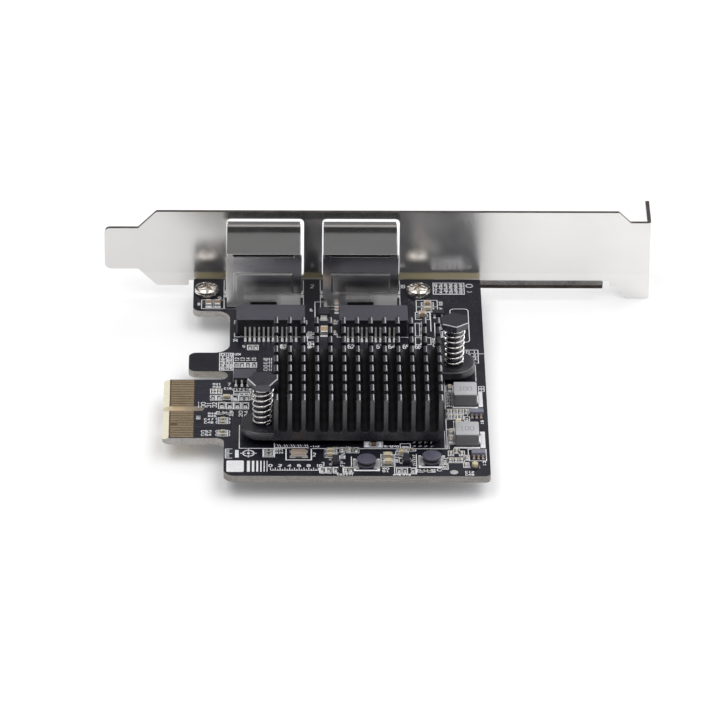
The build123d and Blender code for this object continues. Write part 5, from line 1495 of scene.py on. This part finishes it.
tag("13", 81.1, 81.75, -80.7, -78.6, 90)
tag("16", 81.1, 81.75, -63.7, -61.9, 90)
frame_box(78.15, 81.9, -73.9, -78.6, 0.15)
line([(78.4, -57.3), (78.4, -62.3)], 0.13)
block(80.82, 81.85, -66.7, -73.4)
block(80.85, 81.75, -50.2, -56.5)
block(75.25, 80.7, -73.0, -73.6)
block(75.3, 80.7, -56.45, -57.0)
for y in (-48.3, -49.5):
    frame_box(81.0, 82.2, y - 0.5, y + 0.45, 0.13)
    line([(81.6, y - 0.5), (81.6, y + 0.45)], 0.12)
frame_box(73.95, 75.65, -47.5, -50.3, 0.14)
for i, y in enumerate((-51.2, -52.4, -53.6, -54.8, -56.0)):
    tag(("21", "22", "23", "24", "25")[i], 73.95, 74.85, y - 0.45, y + 0.45, 0, 0.13)
    line([(75.1, y - 0.5), (75.1, y + 0.5)], 0.13)
    line([(75.45, y - 0.5), (75.45, y + 0.4)], 0.13)
frame_box(75.35, 77.25, -62.4, -65.5, 0.14)
for i, y in enumerate((-66.1, -69.0, -71.9)):
    line([(74.3, y), (75.3, y)], 0.13)
frame_box(74.0, 75.5, -65.7, -71.8, 0.13)
for i, x in enumerate((75.9, 76.9, 77.9, 78.9, 79.9)):
    line([(x, -49.9), (x + 0.35, -50.35)], 0.16)
# behind the heatsink
for x, n in ((38.6, "61"), (53.2, "62"), (59.4, "63"), (62.0, "64"), (65.1, "65"), (67.7, "66")):
    tag(n, x, x + 1.5, -31.9, -30.2, 0, 0.17)
frame_box(44.5, 46.4, -26.75, -29.0, 0.14)
tag("90", 44.5, 45.4, -31.9, -29.2, 90, 0.2)
tag("46", 45.6, 46.5, -31.9, -29.2, 90, 0.2)
line([(46.2, -28.2), (46.2, -11.6), (50.7, -11.6), (50.7, -14.0)], 0.16)
tag("6", 45.1, 45.7, -15.8, -14.6)
frame_box(67.9, 71.25, -27.1, -30.1, 0.14)
tag("C95", 71.6, 72.6, -31.0, -27.0, 90)
# right rear: table of settings, hole ring, ports of the small parts
frame_box(72.2, 79.0, -3.1, -8.1)
for r in range(4):
    y1 = -3.4 - r * 1.15
    line([(72.2, y1 - 1.02), (79.0, y1 - 1.02)], 0.07)
    for c in range(6):
        tag(str((r * 7 + c * 3) % 10), 72.4 + c * 1.1, 73.2 + c * 1.1, y1 - 0.85, y1 - 0.02, 0, 0.13)
silk.ring(80.15, -4.3, 0.62, 0.82, 0.0, SILK_T, 24)
silk.band(arc(80.15, -6.6, 0.55, 200, 340, 8), 0.16, 0.0, SILK_T)
frame_box(68.35, 72.95, -10.75, -15.9, 0.14)
line([(68.35, -13.65), (72.95, -13.65)], 0.12)
tag("33", 73.2, 74.1, -13.0, -11.4)
tag("34", 73.2, 74.1, -15.6, -14.0)
frame_box(68.1, 71.2, -16.1, -19.2, 0.14)
frame_box(67.95, 70.35, -20.8, -26.4, 0.14)
line([(71.35, -15.4), (71.35, -24.4)], 0.15)
line([(72.2, -20.6), (72.2, -26.9), (74.2, -26.9), (74.2, -20.6)], 0.14)
pts = rounded(75.65, 79.61, -29.0, -14.55, 0.9, 4)
silk.band(pts + [pts[0]], 0.17, 0.0, SILK_T)
frame_box(78.3, 81.3, -32.4, -38.0, 0.15)
for i in range(1, 4):
    line([(78.3, -32.4 - i * 1.4), (81.3, -32.4 - i * 1.4)], 0.10)
    tag(str(70 + i), 78.5, 79.7, -33.65 - (i - 1) * 1.4, -32.7 - (i - 1) * 1.4, 0, 0.13)
    tag(str(i), 80.2, 80.9, -33.65 - (i - 1) * 1.4, -32.7 - (i - 1) * 1.4, 0, 0.13)
line([(81.3, -34.0), (82.5, -34.0)], 0.15)
tag("88", 64.75, 66.1, -5.5, -3.9)
tag("2", 45.2, 46.1, -5.5, -3.9)
silk.mesh("white_ink", [M["silk"]], slot="board")
dim.mesh("worn_ink", [M["silk_dim"]], slot="board")
glow_ink.mesh("painted_glow_ink", [M["silk_low"]], slot="board")

# ------------------------------------------------------------------ transformers: ejector dimples, pin-one dot
marks = Shape()
for cx_t, cy_t in ((36.55, -23.4), (58.8, -23.5)):
    marks.ring(cx_t - 6.3, cy_t + 1.2, 0.36, 0.5, 4.185, 4.203, 24, 0)
    marks.disc(cx_t - 6.3, cy_t + 1.2, 0.36, 4.19, 4.2015, 20, 1)
    marks.ring(cx_t - 6.25, cy_t - 2.1, 0.22, 0.32, 4.185, 4.202, 18, 0)
marks.mesh("moulding_marks", [M["dimple"], M["trafo"]], slot="trafo_black")

# ------------------------------------------------------------------ stage
def floor():
    me = bpy.data.meshes.new("floor")
    s, z = 4.0, -0.00003
    me.from_pydata([(-s, -s, z), (s, -s, z), (s, s, z), (-s, s, z)], [], [(0, 1, 2, 3)])
    ob = bpy.data.objects.new("floor", me)
    bpy.context.scene.collection.objects.link(ob)
    ob.data.materials.append(finish("floor", (0.88, 0.88, 0.885, 1), 0.9, vary=0.004, vary_scale=3.0, grain=0.0, bump=0.0, rough_vary=0.0,
                                    specular=0.0, emission=((1.0, 1.0, 1.0, 1), 0.16)))
    return ob


floor()


def lamp(name, place, aim, size, power, colour=(1, 1, 1)):
    d = bpy.data.lights.new(name, "AREA")
    d.shape = "RECTANGLE"
    d.size, d.size_y = size
    d.energy = power
    d.color = colour
    ob = bpy.data.objects.new(name, d)
    bpy.context.scene.collection.objects.link(ob)
    ob.location = place
    ob.rotation_euler = (Vector(aim) - Vector(place)).to_track_quat("-Z", "Y").to_euler()
    return ob


lamp("overhead_left", (-0.56, -0.52, 1.30), (-0.56, -0.45, 0.0), (0.80, 2.17), 10.1)
lamp("overhead_right", (0.66, -0.52, 1.30), (0.66, -0.45, 0.0), (0.94, 2.17), 11.9)


def studio():
    """Dim far wall, dark low front, bright top and sides."""
    world = bpy.data.worlds.new("studio")
    bpy.context.scene.world = world
    world.use_nodes = True
    t = world.node_tree
    t.nodes.clear()
    out = t.nodes.new("ShaderNodeOutputWorld")
    bg = t.nodes.new("ShaderNodeBackground")
    t.links.new(bg.outputs[0], out.inputs[0])
    tc = t.nodes.new("ShaderNodeTexCoord")
    sep = t.nodes.new("ShaderNodeSeparateXYZ")
    t.links.new(tc.outputs["Generated"], sep.inputs[0])

    def ramp(socket, stops):
        r = t.nodes.new("ShaderNodeValToRGB")
        r.color_ramp.interpolation = "EASE"
        el = r.color_ramp.elements
        el[0].position, el[0].color = stops[0][0], (stops[0][1],) * 3 + (1,)
        el[1].position, el[1].color = stops[-1][0], (stops[-1][1],) * 3 + (1,)
        for pos, val in stops[1:-1]:
            el.new(pos).color = (val, val, val, 1)
        t.links.new(socket, r.inputs[0])
        return r.outputs[0]

    def mapped(socket, a0, a1, b0, b1):
        n = t.nodes.new("ShaderNodeMapRange")
        n.interpolation_type = "SMOOTHSTEP"
        for key, v in (("From Min", a0), ("From Max", a1), ("To Min", b0), ("To Max", b1)):
            n.inputs[key].default_value = v
        t.links.new(socket, n.inputs["Value"])
        return n.outputs["Result"]

    def mixed(fac, a, b):
        n = t.nodes.new("ShaderNodeMix")
        n.data_type = "RGBA"
        for socket, v in ((n.inputs[0], fac), (n.inputs[6], a), (n.inputs[7], b)):
            if isinstance(v, tuple):
                socket.default_value = v
            else:
                t.links.new(v, socket)
        return n.outputs[2]

    height = ramp(sep.outputs["Z"], ((0.0, 0.17), (0.30, 0.21), (0.56, 0.235), (0.74, 0.45), (1.0, 0.50)))
    low = mapped(sep.outputs["Z"], 0.58, 0.80, 1.0, 0.0)
    to_front = mapped(sep.outputs["Y"], -0.05, -0.45, 0.0, 1.0)
    m = t.nodes.new("ShaderNodeMath")
    m.operation = "MULTIPLY"
    t.links.new(low, m.inputs[0])
    t.links.new(to_front, m.inputs[1])
    c = height
    c = mixed(mapped(sep.outputs["X"], 0.60, 0.85, 0.0, 1.0), c, (0.9, 0.9, 0.92, 1))
    behind = mapped(sep.outputs["Y"], 0.45, 0.60, 0.0, 1.0)
    panel = mapped(sep.outputs["X"], 0.17, 0.30, 0.0, 1.0)
    strip = t.nodes.new("ShaderNodeMath")
    strip.operation = "MULTIPLY"
    t.links.new(behind, strip.inputs[0])
    t.links.new(panel, strip.inputs[1])
    c = mixed(strip.outputs[0], c, (2.6, 2.6, 2.65, 1))
    c = mixed(mapped(sep.outputs["X"], -0.22, -0.50, 0.0, 1.0), c, (0.20, 0.20, 0.205, 1))
    c = mixed(mapped(sep.outputs["X"], -0.62, -0.90, 0.0, 1.0), c, (0.55, 0.55, 0.56, 1))
    c = mixed(m.outputs[0], c, (0.05, 0.05, 0.053, 1))
    t.links.new(c, bg.inputs["Color"])
    bg.inputs["Strength"].default_value = 1.0


studio()

scene = bpy.context.scene
scene.view_settings.view_transform = "Standard"
scene.view_settings.look = "None"
scene.view_settings.exposure = 0.0
scene.view_settings.gamma = 1.0
